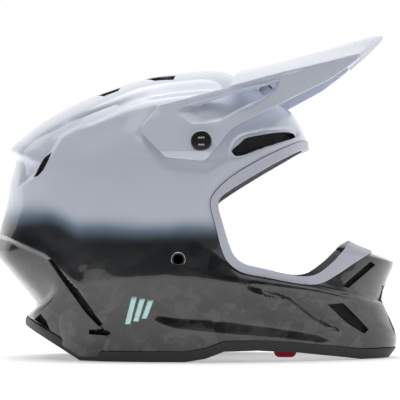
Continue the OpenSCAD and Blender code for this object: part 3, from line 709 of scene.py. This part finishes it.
def mouthBox(gap, low=100, high=260):
    half = mouth["halfWidth"] - gap
    p = [(mouth["low"] + gap, -half), (mouth["high"] - gap, -half), (mouth["high"] - gap, half),
         (mouth["low"] + gap, half)]
    points = [(low, y, z) for z, y in p] + [(high, y, z) for z, y in p]
    faces = [(0, 1, 2, 3), (7, 6, 5, 4)]
    faces += [((i + 1) % 4, (i + 1) % 4 + 4, i + 4, i) for i in range(4)]
    piece = makePiece("cutter", points, faces, None, smooth=False)
    return faceOutward(piece)


# Outer shell
shellPiece = layerPiece("outerShell", 12, 104, 0.0, shell["wall"], finish["shell"])
cut(shellPiece, prism(grown(eyeportLip, 2.5)))
cut(shellPiece, prism(baseStrip(-300, 4)))
for name, outline in vents.items():
    cut(shellPiece, prism(rounded(outline, 4) if name == "brow" else outline))
for outline in crownVents:
    cut(shellPiece, prism(outline, 180, 300, "z"))
    cut(shellPiece, prism([(x, -y) for x, y in outline], 180, 300, "z"))
cut(shellPiece, mouthBox(0))
cut(shellPiece, prism(disc(pivot, 7.3)))
cut(shellPiece, prism(disc(anchor, 5.6)))
crisp(shellPiece, 38)
settle(shellPiece, "shell", ["outer_shell"])
print("outer shell:", len(shellPiece.data.polygons), "faces")


# Rubber trims
def trimPiece(name, lift, inset, keep, drop, material, replaced):
    piece = layerPiece(name, 7, 60, lift, inset, material)
    cut(piece, prism(keep), "INTERSECT")
    for outline in drop:
        cut(piece, prism(outline))
    crisp(piece, 40)
    return settle(piece, "shell", replaced)


trimPiece("eyeportTrim", 1.3, 5.2, eyeportBorder, [eyeportLip, vents["brow"]], finish["paleRubber"],
          ["eyeport_trim"])
trimPiece("baseRoll", 1.0, 9.0, baseStrip(0, 9), [vents["tail"]], finish["darkRubber"],
          ["base_trim"])
print("trims made")


def bead(name, points, radius, material):
    # thin round tube along a line of points; here it paints the shadow of the gap round the eyeport
    # trim
    curve = bpy.data.curves.new(name, "CURVE")
    curve.dimensions = "3D"
    curve.bevel_depth, curve.bevel_resolution = radius * mm, 2
    curve.use_fill_caps = True
    spline = curve.splines.new("POLY")
    spline.points.add(len(points) - 1)
    for target, p in zip(spline.points, points):
        target.co = (*(np.asarray(p) * mm), 1)
    piece = curvePiece(name, curve, material)
    for polygon in piece.data.polygons:
        polygon.use_smooth = True
    return settle(piece, "shell")


# Painted shadow: a thin black bead round the eyeport trim's border stands in for the dark gap
# between trim and shell.
paintedShadowLine = {"lift": 0.25, "radius": 0.55, "browEnd": 97, "chinEnd": 156}
for side, word in ((-1, "Right"), (1, "Left")):
    border = [q for q in eyeportBorder if q[0] < paintedShadowLine["browEnd" if q[1] > 150 else "chinEnd"]]
    start = max(range(len(border)), key=lambda k: np.linalg.norm(border[k] - border[k - 1]))
    border = border[start:] + border[:start]
    bead("trimPaintedShadow" + word, [onSkin(x, z, side, paintedShadowLine["lift"]) for x, z in border], paintedShadowLine["radius"],
         finish["paintedShadowLine"])


# Vent grilles: a sunk backing plate with a diamond mesh in front of it
def joinPieces(name, pieces):
    first = pieces[0]
    work = bmesh.new()
    for piece in pieces:
        work.from_mesh(piece.data)
    mesh = bpy.data.meshes.new(name)
    work.to_mesh(mesh)
    work.free()
    for material in first.data.materials:
        mesh.materials.append(material)
    for piece in pieces:
        bpy.data.objects.remove(piece)
    return linked(name, mesh)


def meshPatch(outline, side, pitch, depth, drop):
    # diamonds inside the outline, laid on the surface that drop gives
    p = np.asarray(outline, float)
    low, high = p.min(0), p.max(0)
    count = int(max(high - low) / pitch * 1.5) + 6
    middle = (low + high) / 2
    keys, points, faces = {}, [], []

    def corner(i, j):
        if (i, j) not in keys:
            keys[i, j] = len(points)
            a = middle + pitch * np.array([(i - j) * 0.62, (i + j) * 0.42])
            points.append(drop(a[0], a[1], side, -depth))
        return keys[i, j]

    centres = []
    for i in range(-count, count):
        for j in range(-count, count):
            centres.append((i, j, middle + pitch * np.array([(i - j) * 0.62, (i + j + 1) * 0.42])))
    for (i, j, _), gap in zip(centres, depthInside(p, np.array([c[2] for c in centres]))):
        if gap > pitch * 0.12:
            faces.append((corner(i, j), corner(i + 1, j), corner(i + 1, j + 1), corner(i, j + 1)))
    return points, faces


sideNet = {"backGap": 2.2, "wire": 0.75, "rimRadius": 0.8, "rimSink": 0.7, "rimGrow": 0.1,
           "rimSteps": 3}
crownNet = {"pitch": 3.0, "depth": 1.8, "backGap": 2.4, "wire": 0.8, "rimRadius": 0.9,
            "rimSink": 2 / 3, "rimGrow": 0.0, "rimSteps": 4}
backThickness = 0.8


def ventParts(outline, side, pitch, depth, net, drop):
    # wires, backing plate and rim of one vent
    wires = makePiece("net", *meshPatch(outline, side, pitch, depth, drop), finish["black"])
    wire = wires.modifiers.new("wire", "WIREFRAME")
    wire.thickness, wire.use_even_offset, wire.use_boundary = net["wire"] * mm, False, True
    behind = meshPatch(outline, side, pitch, depth + net["backGap"], drop)
    back = makePiece("back", *behind, finish["black"])
    thick = back.modifiers.new("thick", "SOLIDIFY")
    thick.thickness = backThickness * mm
    rim = grown(outline, net["rimGrow"])
    path = [drop(a, b, side, -depth * net["rimSink"])
            for a, b in openCurve(np.vstack([rim, rim[:1]]), net["rimSteps"])]
    return [bake(wires), bake(back), tube(np.array(path)[:-1], net["rimRadius"], finish["black"])]


def grillePiece(name, outline, pitch, node, depth=1.6, steps=1):
    outline = rounded(outline, steps) if steps > 1 else np.asarray(outline, float)
    parts = []
    for side in (-1, 1):
        parts += ventParts(outline, side, pitch, depth, sideNet, onSkin)
    piece = joinPieces(name, parts)
    crisp(piece, 40)
    return settle(piece, "shell", [node])


def tube(path, radius, material, sidesCount=8):
    # closed ring of round section
    n = len(path)
    ahead = np.roll(path, -1, 0) - np.roll(path, 1, 0)
    ahead /= np.maximum(np.linalg.norm(ahead, axis=1), 1e-6)[:, None]
    out = path - path.mean(0)
    out -= ahead * np.sum(out * ahead, 1)[:, None]
    out /= np.maximum(np.linalg.norm(out, axis=1), 1e-6)[:, None]
    up = np.cross(ahead, out)
    a = np.arange(sidesCount) * 2 * math.pi / sidesCount
    points = (path[:, None] + radius * (out[:, None] * np.cos(a)[None, :, None]
                                        + up[:, None] * np.sin(a)[None, :, None])).reshape(-1, 3)
    faces = [(i * sidesCount + k, i * sidesCount + (k + 1) % sidesCount,
              (i + 1) % n * sidesCount + (k + 1) % sidesCount, (i + 1) % n * sidesCount + k)
             for i in range(n) for k in range(sidesCount)]
    return makePiece("tube", points, faces, material)


# vent: mesh pitch, depth below the skin, rounding steps
nets = {"brow": (3.0, 1.2, 3), "rear": (2.6, 1.6, 1), "rearSlot": (2.6, 2.0, 1),
        "rearPort": (2.2, 1.2, 1), "tail": (2.6, 1.6, 1), "chin": (2.6, 1.6, 1),
        "cheek": (2.4, 1.6, 1)}
nodeWords = {"rearSlot": "rear_slot", "rearPort": "rear_port"}
for word, (pitch, depth, steps) in nets.items():
    grillePiece(word + "Grilles", vents[word], pitch,
                nodeWords.get(word, word + "_vent") + "_grilles", depth, steps)


def onCrown(x, y, side, lift=0.0):
    hit = skinTree.ray_cast(Vector((x, side * y, 400)), Vector((0, 0, -1)))[0]
    return np.array(hit + Vector((0, 0, lift)))


def crownPiece():
    parts = []
    for outline in crownVents:
        for side in (-1, 1):
            parts += ventParts(outline, side, crownNet["pitch"], crownNet["depth"], crownNet,
                               onCrown)
    piece = joinPieces("topGrilles", parts)
    crisp(piece, 40)
    return settle(piece, "shell", ["crown_vent_grilles"])


crownPiece()
print("grilles made")

# Peak: stations and rows as in the CAD, with smoother sheets, bevels and a window liner
peak = {
    "wall": 3.0, "armThick": 3.5, "bevel": 0.55, "topBevel": 0.9,
    "rows": [[(36, 0, 264.5), (36, 24, 262.5), (33, 62, 256), (27, 97.5, 243)],
             [(70, 0, 271.6), (70, 25, 270), (71, 60, 264), (71, 94.5, 255)],
             [(100, 0, 280), (100, 24, 277.5), (99, 52, 271), (97, 83, 262)],
             [(129, 0, 288.3), (129, 22, 285), (124, 45, 277), (119, 73.5, 268)],
             [(159, 0, 296.7), (155, 16, 292.5), (149, 38, 283), (142, 63, 274.5)],
             [(171, 0, 297.5), (166, 14, 291.5), (156, 36, 282.5), (145, 61, 274)]],
    "side": [(-51, 207), (-51.6, 204), (-51, 201), (-29, 179), (3.5, 176), (7.5, 178.4), (10, 182),
             (29, 205), (40, 212), (73, 228), (119, 252), (143, 270), (143, 274), (119, 267.5),
             (71, 255), (27, 242.5), (-35, 226)],
    "window": [(-18, 219), (-6, 209), (18, 211.5), (27, 216.5), (68, 239), (72, 249), (27, 238),
               (-13, 225.5)],
    "hole": [(-1, 220.5), (8, 214.5), (21, 215.5), (29, 219.5), (66.5, 240.5), (69.5, 246.5),
             (27, 235.5), (2, 226.5)],
    "stations": [(-60, 120.1, 0.45), (12, 124.4, 0.45), (27, 124, 0.45), (49, 114, 0.3),
                 (71, 105.1, 0.15), (119, 85.9, 0.15), (147, 74.2, 0.15)],
    "bend": 184.0, "foot": 0.16,
}


def armFace(x, z):
    s = np.array(peak["stations"])
    face, lean = np.interp(x, s[:, 0], s[:, 1]), np.interp(x, s[:, 0], s[:, 2])
    above = z - peak["bend"]
    return face - lean * np.maximum(0, above) - peak["foot"] * np.maximum(0, -above)


def flatPanel(outlines, thickness, bevel, material, name="panel"):
    # flat sheet with holes and bevelled edges, lying in x and z, its middle at y = 0
    curve = bpy.data.curves.new(name, "CURVE")
    curve.dimensions, curve.fill_mode = "2D", "BOTH"
    curve.extrude = (thickness / 2 - bevel) * mm
    curve.bevel_depth, curve.bevel_resolution, curve.offset = bevel * mm, 1, -bevel * mm
    for outline in outlines:
        spline = curve.splines.new("POLY")
        spline.points.add(len(outline) - 1)
        for target, (a, b) in zip(spline.points, outline):
            target.co = (a * mm, b * mm, 0, 1)
        spline.use_cyclic_u = True
    piece = curvePiece(name, curve, material)
    work = bmesh.new()
    work.from_mesh(piece.data)
    bmesh.ops.remove_doubles(work, verts=work.verts, dist=1e-6)
    for v in work.verts:
        v.co = Vector((v.co.x, v.co.z, v.co.y))
    work.to_mesh(piece.data)
    work.free()
    return faceOutward(piece)


def sliceAcross(piece, places, axis):
    work = bmesh.new()
    work.from_mesh(piece.data)
    normal = Vector([1.0 if k == axis else 0.0 for k in range(3)])
    for place in places:
        bmesh.ops.bisect_plane(work, geom=work.verts[:] + work.edges[:] + work.faces[:],
                               plane_co=normal * place * mm, plane_no=normal, dist=1e-6)
    work.to_mesh(piece.data)
    work.free()


def softCorners(points, radius=3.0, steps=3):
    # rounds each corner of an outline
    p = np.asarray(points, float)
    out = []
    for i in range(len(p)):
        a, b, c = p[i - 1], p[i], p[(i + 1) % len(p)]
        ra = min(radius, np.linalg.norm(a - b) * 0.4)
        rc = min(radius, np.linalg.norm(c - b) * 0.4)
        s, e = b + (a - b) / np.linalg.norm(a - b) * ra, b + (c - b) / np.linalg.norm(c - b) * rc
        for t in np.linspace(0, 1, steps + 1):
            out.append((1 - t) ** 2 * s + 2 * t * (1 - t) * b + t * t * e)
    return np.array(out)


def makeArm(side):
    panel = flatPanel([softCorners(peak["side"], 1.6), softCorners(peak["window"], 2)],
                      peak["armThick"], peak["bevel"], finish["peak"])
    sliceAcross(panel, range(-45, 145, 6), 0)
    sliceAcross(panel, [184] + list(range(190, 274, 8)), 2)
    for v in panel.data.vertices:
        x, y, z = np.array(v.co) / mm
        v.co = (x * mm, side * (armFace(x, z) - peak["armThick"] / 2 + y) * mm, z * mm)
    if side < 0:
        panel.data.flip_normals()
    return panel


def makeWindowLiner(side):
    # sloping reveal from the window's edge in to the smaller hole
    outer, inner = softCorners(peak["window"], 2, 3), softCorners(peak["hole"], 2, 3)
    loops = []
    for outline, depth in ((grown(outer, 0.4), 0.35), (inner, 8.0), (grown(inner, 1.0), 9.4),
                           (grown(outer, 1.6), 2.6)):
        loops.append(np.array([(x, side * (armFace(x, z) - depth), z) for x, z in outline]))
    n = len(outer)
    points = np.vstack(loops)
    faces = [(r * n + i, r * n + (i + 1) % n, (r + 1) % 4 * n + (i + 1) % n, (r + 1) % 4 * n + i)
             for r in range(4) for i in range(n)]
    piece = makePiece("liner", points, faces, finish["peak"])
    return faceOutward(piece)


def makePeakTop():
    rows = np.array([[r[abs(c)] for c in range(-3, 4)] for r in peak["rows"]], float)
    rows[:, :3, 1] *= -1
    long = np.stack([openCurve(rows[:, c], 8) for c in range(7)], 1)
    wide = []
    for c in range(6):
        for t in (0, 0.34, 0.67):
            wide.append(long[:, c] * (1 - t) + long[:, c + 1] * t)
    wide.append(long[:, 6])
    top = np.stack(wide, 1)
    a, b = top.shape[:2]
    lower = top - [0, 0, peak["wall"]]
    points = np.vstack([top.reshape(-1, 3), lower.reshape(-1, 3)])
    at = np.arange(a * b).reshape(a, b)
    faces = [(at[i, j], at[i + 1, j], at[i + 1, j + 1], at[i, j + 1])
             for i in range(a - 1) for j in range(b - 1)]
    faces += [tuple(k + a * b for k in f[::-1]) for f in faces]
    rim = list(at[0, :-1]) + list(at[:-1, -1]) + list(at[-1, :0:-1]) + list(at[:0:-1, 0])
    faces += [(rim[k], rim[(k + 1) % len(rim)], rim[(k + 1) % len(rim)] + a * b, rim[k] + a * b)
              for k in range(len(rim))]
    piece = makePiece("top", points, faces, finish["peak"])
    faceOutward(piece)
    soft = piece.modifiers.new("edge", "BEVEL")
    soft.width, soft.segments = peak["topBevel"] * mm, 2
    soft.limit_method, soft.angle_limit = "ANGLE", math.radians(28)
    return bake(piece)


def lathe(profile, count, centre, outward, material):
    # turned part: profile is (radius, height), its axis along y at a place
    n = len(profile)
    a = np.arange(count) * 2 * math.pi / count
    points = [(centre[0] + r * math.cos(q), outward * h, centre[1] + r * math.sin(q))
              for r, h in profile for q in a]
    faces = [(i * count + k, i * count + (k + 1) % count, (i + 1) * count + (k + 1) % count,
              (i + 1) * count + k) for i in range(n - 1) for k in range(count)]
    faces += [tuple(range(count))[::-1], tuple((n - 1) * count + k for k in range(count))]
    piece = makePiece("turned", points, faces, material)
    return faceOutward(piece)


seats = [lathe([(6.2, 116.5), (10, 116.5), (10, 119.4), (9.4, 120), (6.2, 120)], 48, pivot, side,
               finish["peak"]) for side in (-1, 1)]
peakPiece = joinPieces("peakBody", [makePeakTop()] + [makeArm(s) for s in (-1, 1)]
                       + [makeWindowLiner(s) for s in (-1, 1)] + seats)
crisp(peakPiece, 24)
settle(peakPiece, "peak", ["peak"])
print("peak made")

# Pivot screws: turned discs with rings, a coin slot and two rows of plain dots
screw = {"face": 121.2, "shank": [(3.9, 96), (3.9, 119)], "slotLength": 6.4, "slotWidth": 1.2,
         "slotFloor": 1.6, "dotRadius": 0.8, "dotRow": 3.1, "dotStep": 1.9,
         "head": [(8.6, -0.1), (9.0, 0.3), (9.0, 1.7), (8.4, 2.3), (7.2, 2.5), (6.9, 2.1),
                  (6.4, 2.1), (6.1, 2.5), (5.0, 2.6), (4.7, 2.2), (4.3, 2.2), (4.0, 2.6),
                  (1.2, 2.7)]}
for side, word in ((1, "left"), (-1, "right")):
    face = screw["face"]
    head = lathe(screw["shank"] + [(r, face + h) for r, h in screw["head"]], 64, pivot, side,
                 finish["anodised"])
    a, b = screw["slotLength"] / 2, screw["slotWidth"] / 2
    slotOutline = [(pivot[0] + i * a, pivot[1] + j * b)
                   for i, j in ((-1, -1), (1, -1), (1, 1), (-1, 1))]
    cut(head, prism(slotOutline, *sorted((side * (face + screw["slotFloor"]), side * (face + 6)))))
    head.name = "pivotScrew" + word.title()
    crisp(head, 30)
    settle(head, "pivot_screw_" + word, ["pivot_screw_" + word])
    dots = [lathe([(screw["dotRadius"], face + 2.3), (screw["dotRadius"], face + 2.85)], 12,
                  (pivot[0] + x * screw["dotStep"], pivot[1] + z * screw["dotRow"]), side,
                  finish["whiteMark"]) for z in (1, -1) for x in (-1, 0, 1)]
    marks = joinPieces("screwMarks" + word.title(), dots)
    settle(marks, "pivot_screw_" + word)

# Strap rivets: dished caps in the shell, each with a bright lip round it
rivet = {"foot": [(9, 112), (9, 113.2), (3.9, 113.4)],
         "cap": [(3.9, -2.6), (5.2, -2.4), (5.35, -0.1), (4.9, 0.1), (4.3, -0.6), (2.8, -1.2),
                 (0.6, -1.3)],
         "lip": [(5.75, -0.6), (5.75, 0.25), (6.0, 0.4), (6.3, 0.2), (6.4, -0.6)]}
for side, word in ((1, "left"), (-1, "right")):
    face = abs(onSkin(anchor[0], anchor[1], side)[1])
    cap = lathe(rivet["foot"] + [(r, face + h) for r, h in rivet["cap"]], 48, anchor, side,
                finish["anodised"])
    lip = lathe([(r, face + h) for r, h in rivet["lip"]], 48, anchor, side, finish["steel"])
    lip.name = "rivetLip" + word.title()
    crisp(lip, 30)
    settle(lip, "shell")
    cap.name = "strapRivet" + word.title()
    crisp(cap, 30)
    settle(cap, "shell", ["strap_anchor_" + word])
print("hardware made")


# Plain aqua mark: three slanted bars laid on the lacquer
mark = {"bars": 3, "left": -64.6, "step": 7.2, "low": 33.5, "high": 57.5, "slant": 6.0,
        "width": 4.6, "lift": 0.12, "thick": 0.25}


def markPiece():
    parts = []
    for side in (-1, 1):
        for k in range(mark["bars"]):
            left = mark["left"] + k * mark["step"]
            low, high = mark["low"] + k * 2.5, mark["high"] - k * 1.5
            grid = []
            for t in np.linspace(0, 1, 9):
                z = low + (high - low) * t
                grid.append([onSkin(left + mark["slant"] * t + w, z, side, mark["lift"])
                             for w in np.linspace(0, mark["width"], 4)])
            grid = np.array(grid)
            a, b = grid.shape[:2]
            at = np.arange(a * b).reshape(a, b)
            faces = [(at[i, j], at[i + 1, j], at[i + 1, j + 1], at[i, j + 1])
                     for i in range(a - 1) for j in range(b - 1)]
            bar = makePiece("bar", grid.reshape(-1, 3), faces, finish["aqua"])
            thick = bar.modifiers.new("thick", "SOLIDIFY")
            thick.thickness, thick.offset = mark["thick"] * mm, 0
            parts.append(bake(bar))
    return joinPieces("aquaMark", parts)


settle(markPiece(), "shell")


# Soft pads: each CAD pad's own shape, drawn in a little, then blown up as stuffed cloth
pads = {
    "crown_pad": {"voxel": 4.4, "shrink": 1.6, "cap": 3.0, "fill": 0.5},
    "brow_pad": {"voxel": 3.6, "shrink": 1.4, "cap": 2.5, "fill": 0.6},
    "neck_roll": {"voxel": 4.0, "shrink": 1.6, "cap": 3.0, "fill": 0.6},
    "cheek_pad_left": {"voxel": 4.0, "shrink": 2.5, "cap": 4.0, "fill": 0.8},
    "cheek_pad_right": {"voxel": 4.0, "shrink": 2.5, "cap": 4.0, "fill": 0.8},
}


stuffing = {"pressure": 4, "quality": 5, "ticks": 20}


def stuffedPad(node, p):
    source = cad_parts[node]
    mesh = source.data.copy()
    pad = linked(node.title().replace("_", "").replace("Crown", "Top"), mesh)
    work = bmesh.new()
    work.from_mesh(mesh)
    bmesh.ops.remove_doubles(work, verts=work.verts, dist=1e-5)
    work.to_mesh(mesh)
    work.free()
    voxel = pad.modifiers.new("voxel", "REMESH")
    voxel.mode, voxel.voxel_size = "VOXEL", p["voxel"] * mm
    bake(pad)
    for v, n in zip(pad.data.vertices, [v.normal.copy() for v in pad.data.vertices]):
        v.co -= n * p["shrink"] * mm
    start = np.array([v.co for v in pad.data.vertices])
    cloth = pad.modifiers.new("cloth", "CLOTH")
    cloth.settings.use_pressure = True
    cloth.settings.uniform_pressure_force = stuffing["pressure"]
    cloth.settings.effector_weights.gravity = 0
    cloth.settings.quality = stuffing["quality"]
    for tick in range(1, stuffing["ticks"] + 1):
        bpy.context.scene.frame_set(tick)
    bake(pad)
    bpy.context.scene.frame_set(1)
    for v, old in zip(pad.data.vertices, start):
        move = np.array(v.co) - old
        far = np.linalg.norm(move)
        limit = p["cap"] * mm
        if far > limit:
            v.co = old + move / far * limit
    soft = pad.modifiers.new("soft", "SUBSURF")
    soft.levels = soft.render_levels = 1
    bake(pad)
    pad.data.materials.clear()
    pad.data.materials.append(finish["comfort"])
    for polygon in pad.data.polygons:
        polygon.use_smooth = True
    settle(pad, "shell", [node])
    return pad


for node, p in pads.items():
    stuffedPad(node, p)
print("pads made")


# Chin strap: webbing ribbons with folded edges, laid along the CAD's route
strap = {"width": 25.0, "thick": 1.8, "x": anchor[0],
         "route": [(110.5, 96), (109, 60), (101, 34), (90, 17), (76, 11), (40, 9)]}


def ribbon(name, route, node):
    path = openCurve(np.array(route, float), 8)
    run = np.gradient(path, axis=0)
    run /= np.linalg.norm(run, axis=1)[:, None]
    up = np.stack([-run[:, 1], run[:, 0]], 1)
    half, t = strap["width"] / 2, strap["thick"] / 2
    section = [(-half, -t * 0.5), (-half + 0.8, -t), (-half + 3, -t * 0.8), (0, -t * 0.85),
               (half - 3, -t * 0.8), (half - 0.8, -t), (half, -t * 0.5),
               (half, t * 0.5), (half - 0.8, t), (half - 3, t * 0.8), (0, t * 0.85),
               (-half + 3, t * 0.8), (-half + 0.8, t), (-half, t * 0.5)]
    n, m = len(path), len(section)
    points = [(strap["x"] + w, path[i, 0] + up[i, 0] * h, path[i, 1] + up[i, 1] * h)
              for i in range(n) for w, h in section]
    faces = [(i * m + k, i * m + (k + 1) % m, (i + 1) * m + (k + 1) % m, (i + 1) * m + k)
             for i in range(n - 1) for k in range(m)]
    faces += [tuple(range(m)), tuple((n - 1) * m + k for k in range(m))[::-1]]
    piece = makePiece(name, points, faces, finish["webbing"])
    faceOutward(piece)
    crisp(piece, 50)
    return settle(piece, "shell", [node])


ringLow, ringHigh, barY = 9.2, 12.8, 10.0
clear = 1.6 + strap["thick"] / 2 + 0.35
ribbon("chinStrapLeft", strap["route"]
       + [(20, ringLow - 2.2), (barY, ringLow - clear), (barY - 3.2, 11),
          (barY, ringHigh + clear), (18, ringHigh - 0.4), (34, 11.6)], "chin_strap_left")
ribbon("chinStrapRight", [(-y, z) for y, z in strap["route"]]
       + [(-22, ringLow - clear), (1.2, ringLow - clear), (3.4, ringLow - clear + 3),
          (3.4, ringHigh + clear - 3), (1.2, ringHigh + clear), (-6, ringHigh + clear),
          (-20, ringHigh + clear - 4), (-44, 12.5)], "chin_strap_right")


# Emergency tabs: folded red webbing under the cheek pads
tab = {"x": 77.0, "y": 70.0, "thick": 3.0, "edge": 1.1,
       "outline": [(-7, 2.5), (7, 2.5), (10, 5.5), (10, 13), (0, 19), (-5, 27), (-10, 27),
                   (-10, 5.5)]}
for side, word in ((1, "left"), (-1, "right")):
    flap = flatPanel([softCorners([(a + tab["x"], b) for a, b in tab["outline"]], 2)],
                     tab["thick"], tab["edge"], finish["redTab"], "releaseTab" + word.title())
    for v in flap.data.vertices:
        v.co.y += side * tab["y"] * mm
    crisp(flap, 50)
    settle(flap, "shell", ["release_tab_" + word])
print("straps and tabs made")

# Carried-over CAD nodes take their finishes
carried = {
    "eps_upper": "foam", "eps_lower": "foam", "eps_chin_bar": "foam", "pad_snaps": "black",
    "d_rings": "steel", "strap_snap": "black", "mouth_vent_frame": "shell",
    "mouth_vent_grille": "black", "nose_guard": "darkRubber", "pivot_insert_left": "insert",
    "pivot_insert_right": "insert", "center_insert": "peak", "peak_center_bracket": "peak",
    "pivot_bush_left": "black", "pivot_bush_right": "black", "center_screw": "anodised",
}
for node, word in carried.items():
    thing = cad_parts[node]
    thing.data.materials.clear()
    thing.data.materials.append(finish[word])

# Floor, lights and camera
studio = {"floorGlow": 0.42, "curtainRadius": 2.6, "curtainHeight": 3.6, "curtainFrom": 163,
          "curtainTo": 345, "eye": (0.0009, -1.950, 0.092),
          "aim": (0.0009, 0.0, 0.145), "lens": 189.0}
floor = makePiece("floor", [(-12000, -12000, -0.4), (12000, -12000, -0.4), (12000, 12000, -0.4),
                            (-12000, 12000, -0.4)], [(0, 1, 2, 3)], None, smooth=False)
f = Finish("paleFloor")
pale = f.blend(f.noise(2, 2), (0.93, 0.93, 0.93), (0.95, 0.95, 0.95))
floor.data.materials.append(f.wear(colour=pale, roughness=0.9, specular=0.0))
f.shader.inputs["Emission Color"].default_value = (1, 1, 1, 1)
f.shader.inputs["Emission Strength"].default_value = studio["floorGlow"]

ring = np.radians(np.linspace(studio["curtainFrom"], studio["curtainTo"], 33))
r, h = studio["curtainRadius"] * 1000, studio["curtainHeight"] * 1000
points = [(r * math.cos(a), r * math.sin(a), z) for z in (0, h) for a in ring]
faces = [(k, k + 1, k + 34, k + 33) for k in range(32)]
curtain = makePiece("curtain", points, faces, None)
f = Finish("darkCurtain")
dim = f.blend(f.noise(1, 1), (0.012, 0.013, 0.015), (0.02, 0.02, 0.022))
curtain.data.materials.append(f.wear(colour=dim, roughness=1.0, specular=0.0))
curtain.visible_camera = curtain.visible_shadow = False

world = bpy.data.worlds.new("studioAir")
bpy.context.scene.world = world
world.use_nodes = True
world.node_tree.nodes["Background"].inputs[0].default_value = (1.0, 1.0, 1.0, 1)
world.node_tree.nodes["Background"].inputs[1].default_value = 1.0


def aimAt(thing, place, aim):
    thing.location = place
    thing.rotation_euler = (Vector(aim) - Vector(place)).to_track_quat("-Z", "Y").to_euler()


def softLight(name, place, aim, width, height, power):
    data = bpy.data.lights.new(name, "AREA")
    data.shape, data.size, data.size_y, data.energy = "RECTANGLE", width, height, power
    lamp = linked(name, data)
    aimAt(lamp, place, aim)


softLight("topSoftbox", (-0.35, 0.15, 1.9), (0, 0, 0.15), 1.6, 1.2, 16)

cameraData = bpy.data.cameras.new("camera")
cameraData.lens, cameraData.sensor_width = studio["lens"], 36
camera = linked("camera", cameraData)
aimAt(camera, studio["eye"], studio["aim"])
bpy.context.scene.camera = camera
bpy.context.scene.view_settings.view_transform = "Standard"

print("scene complete")
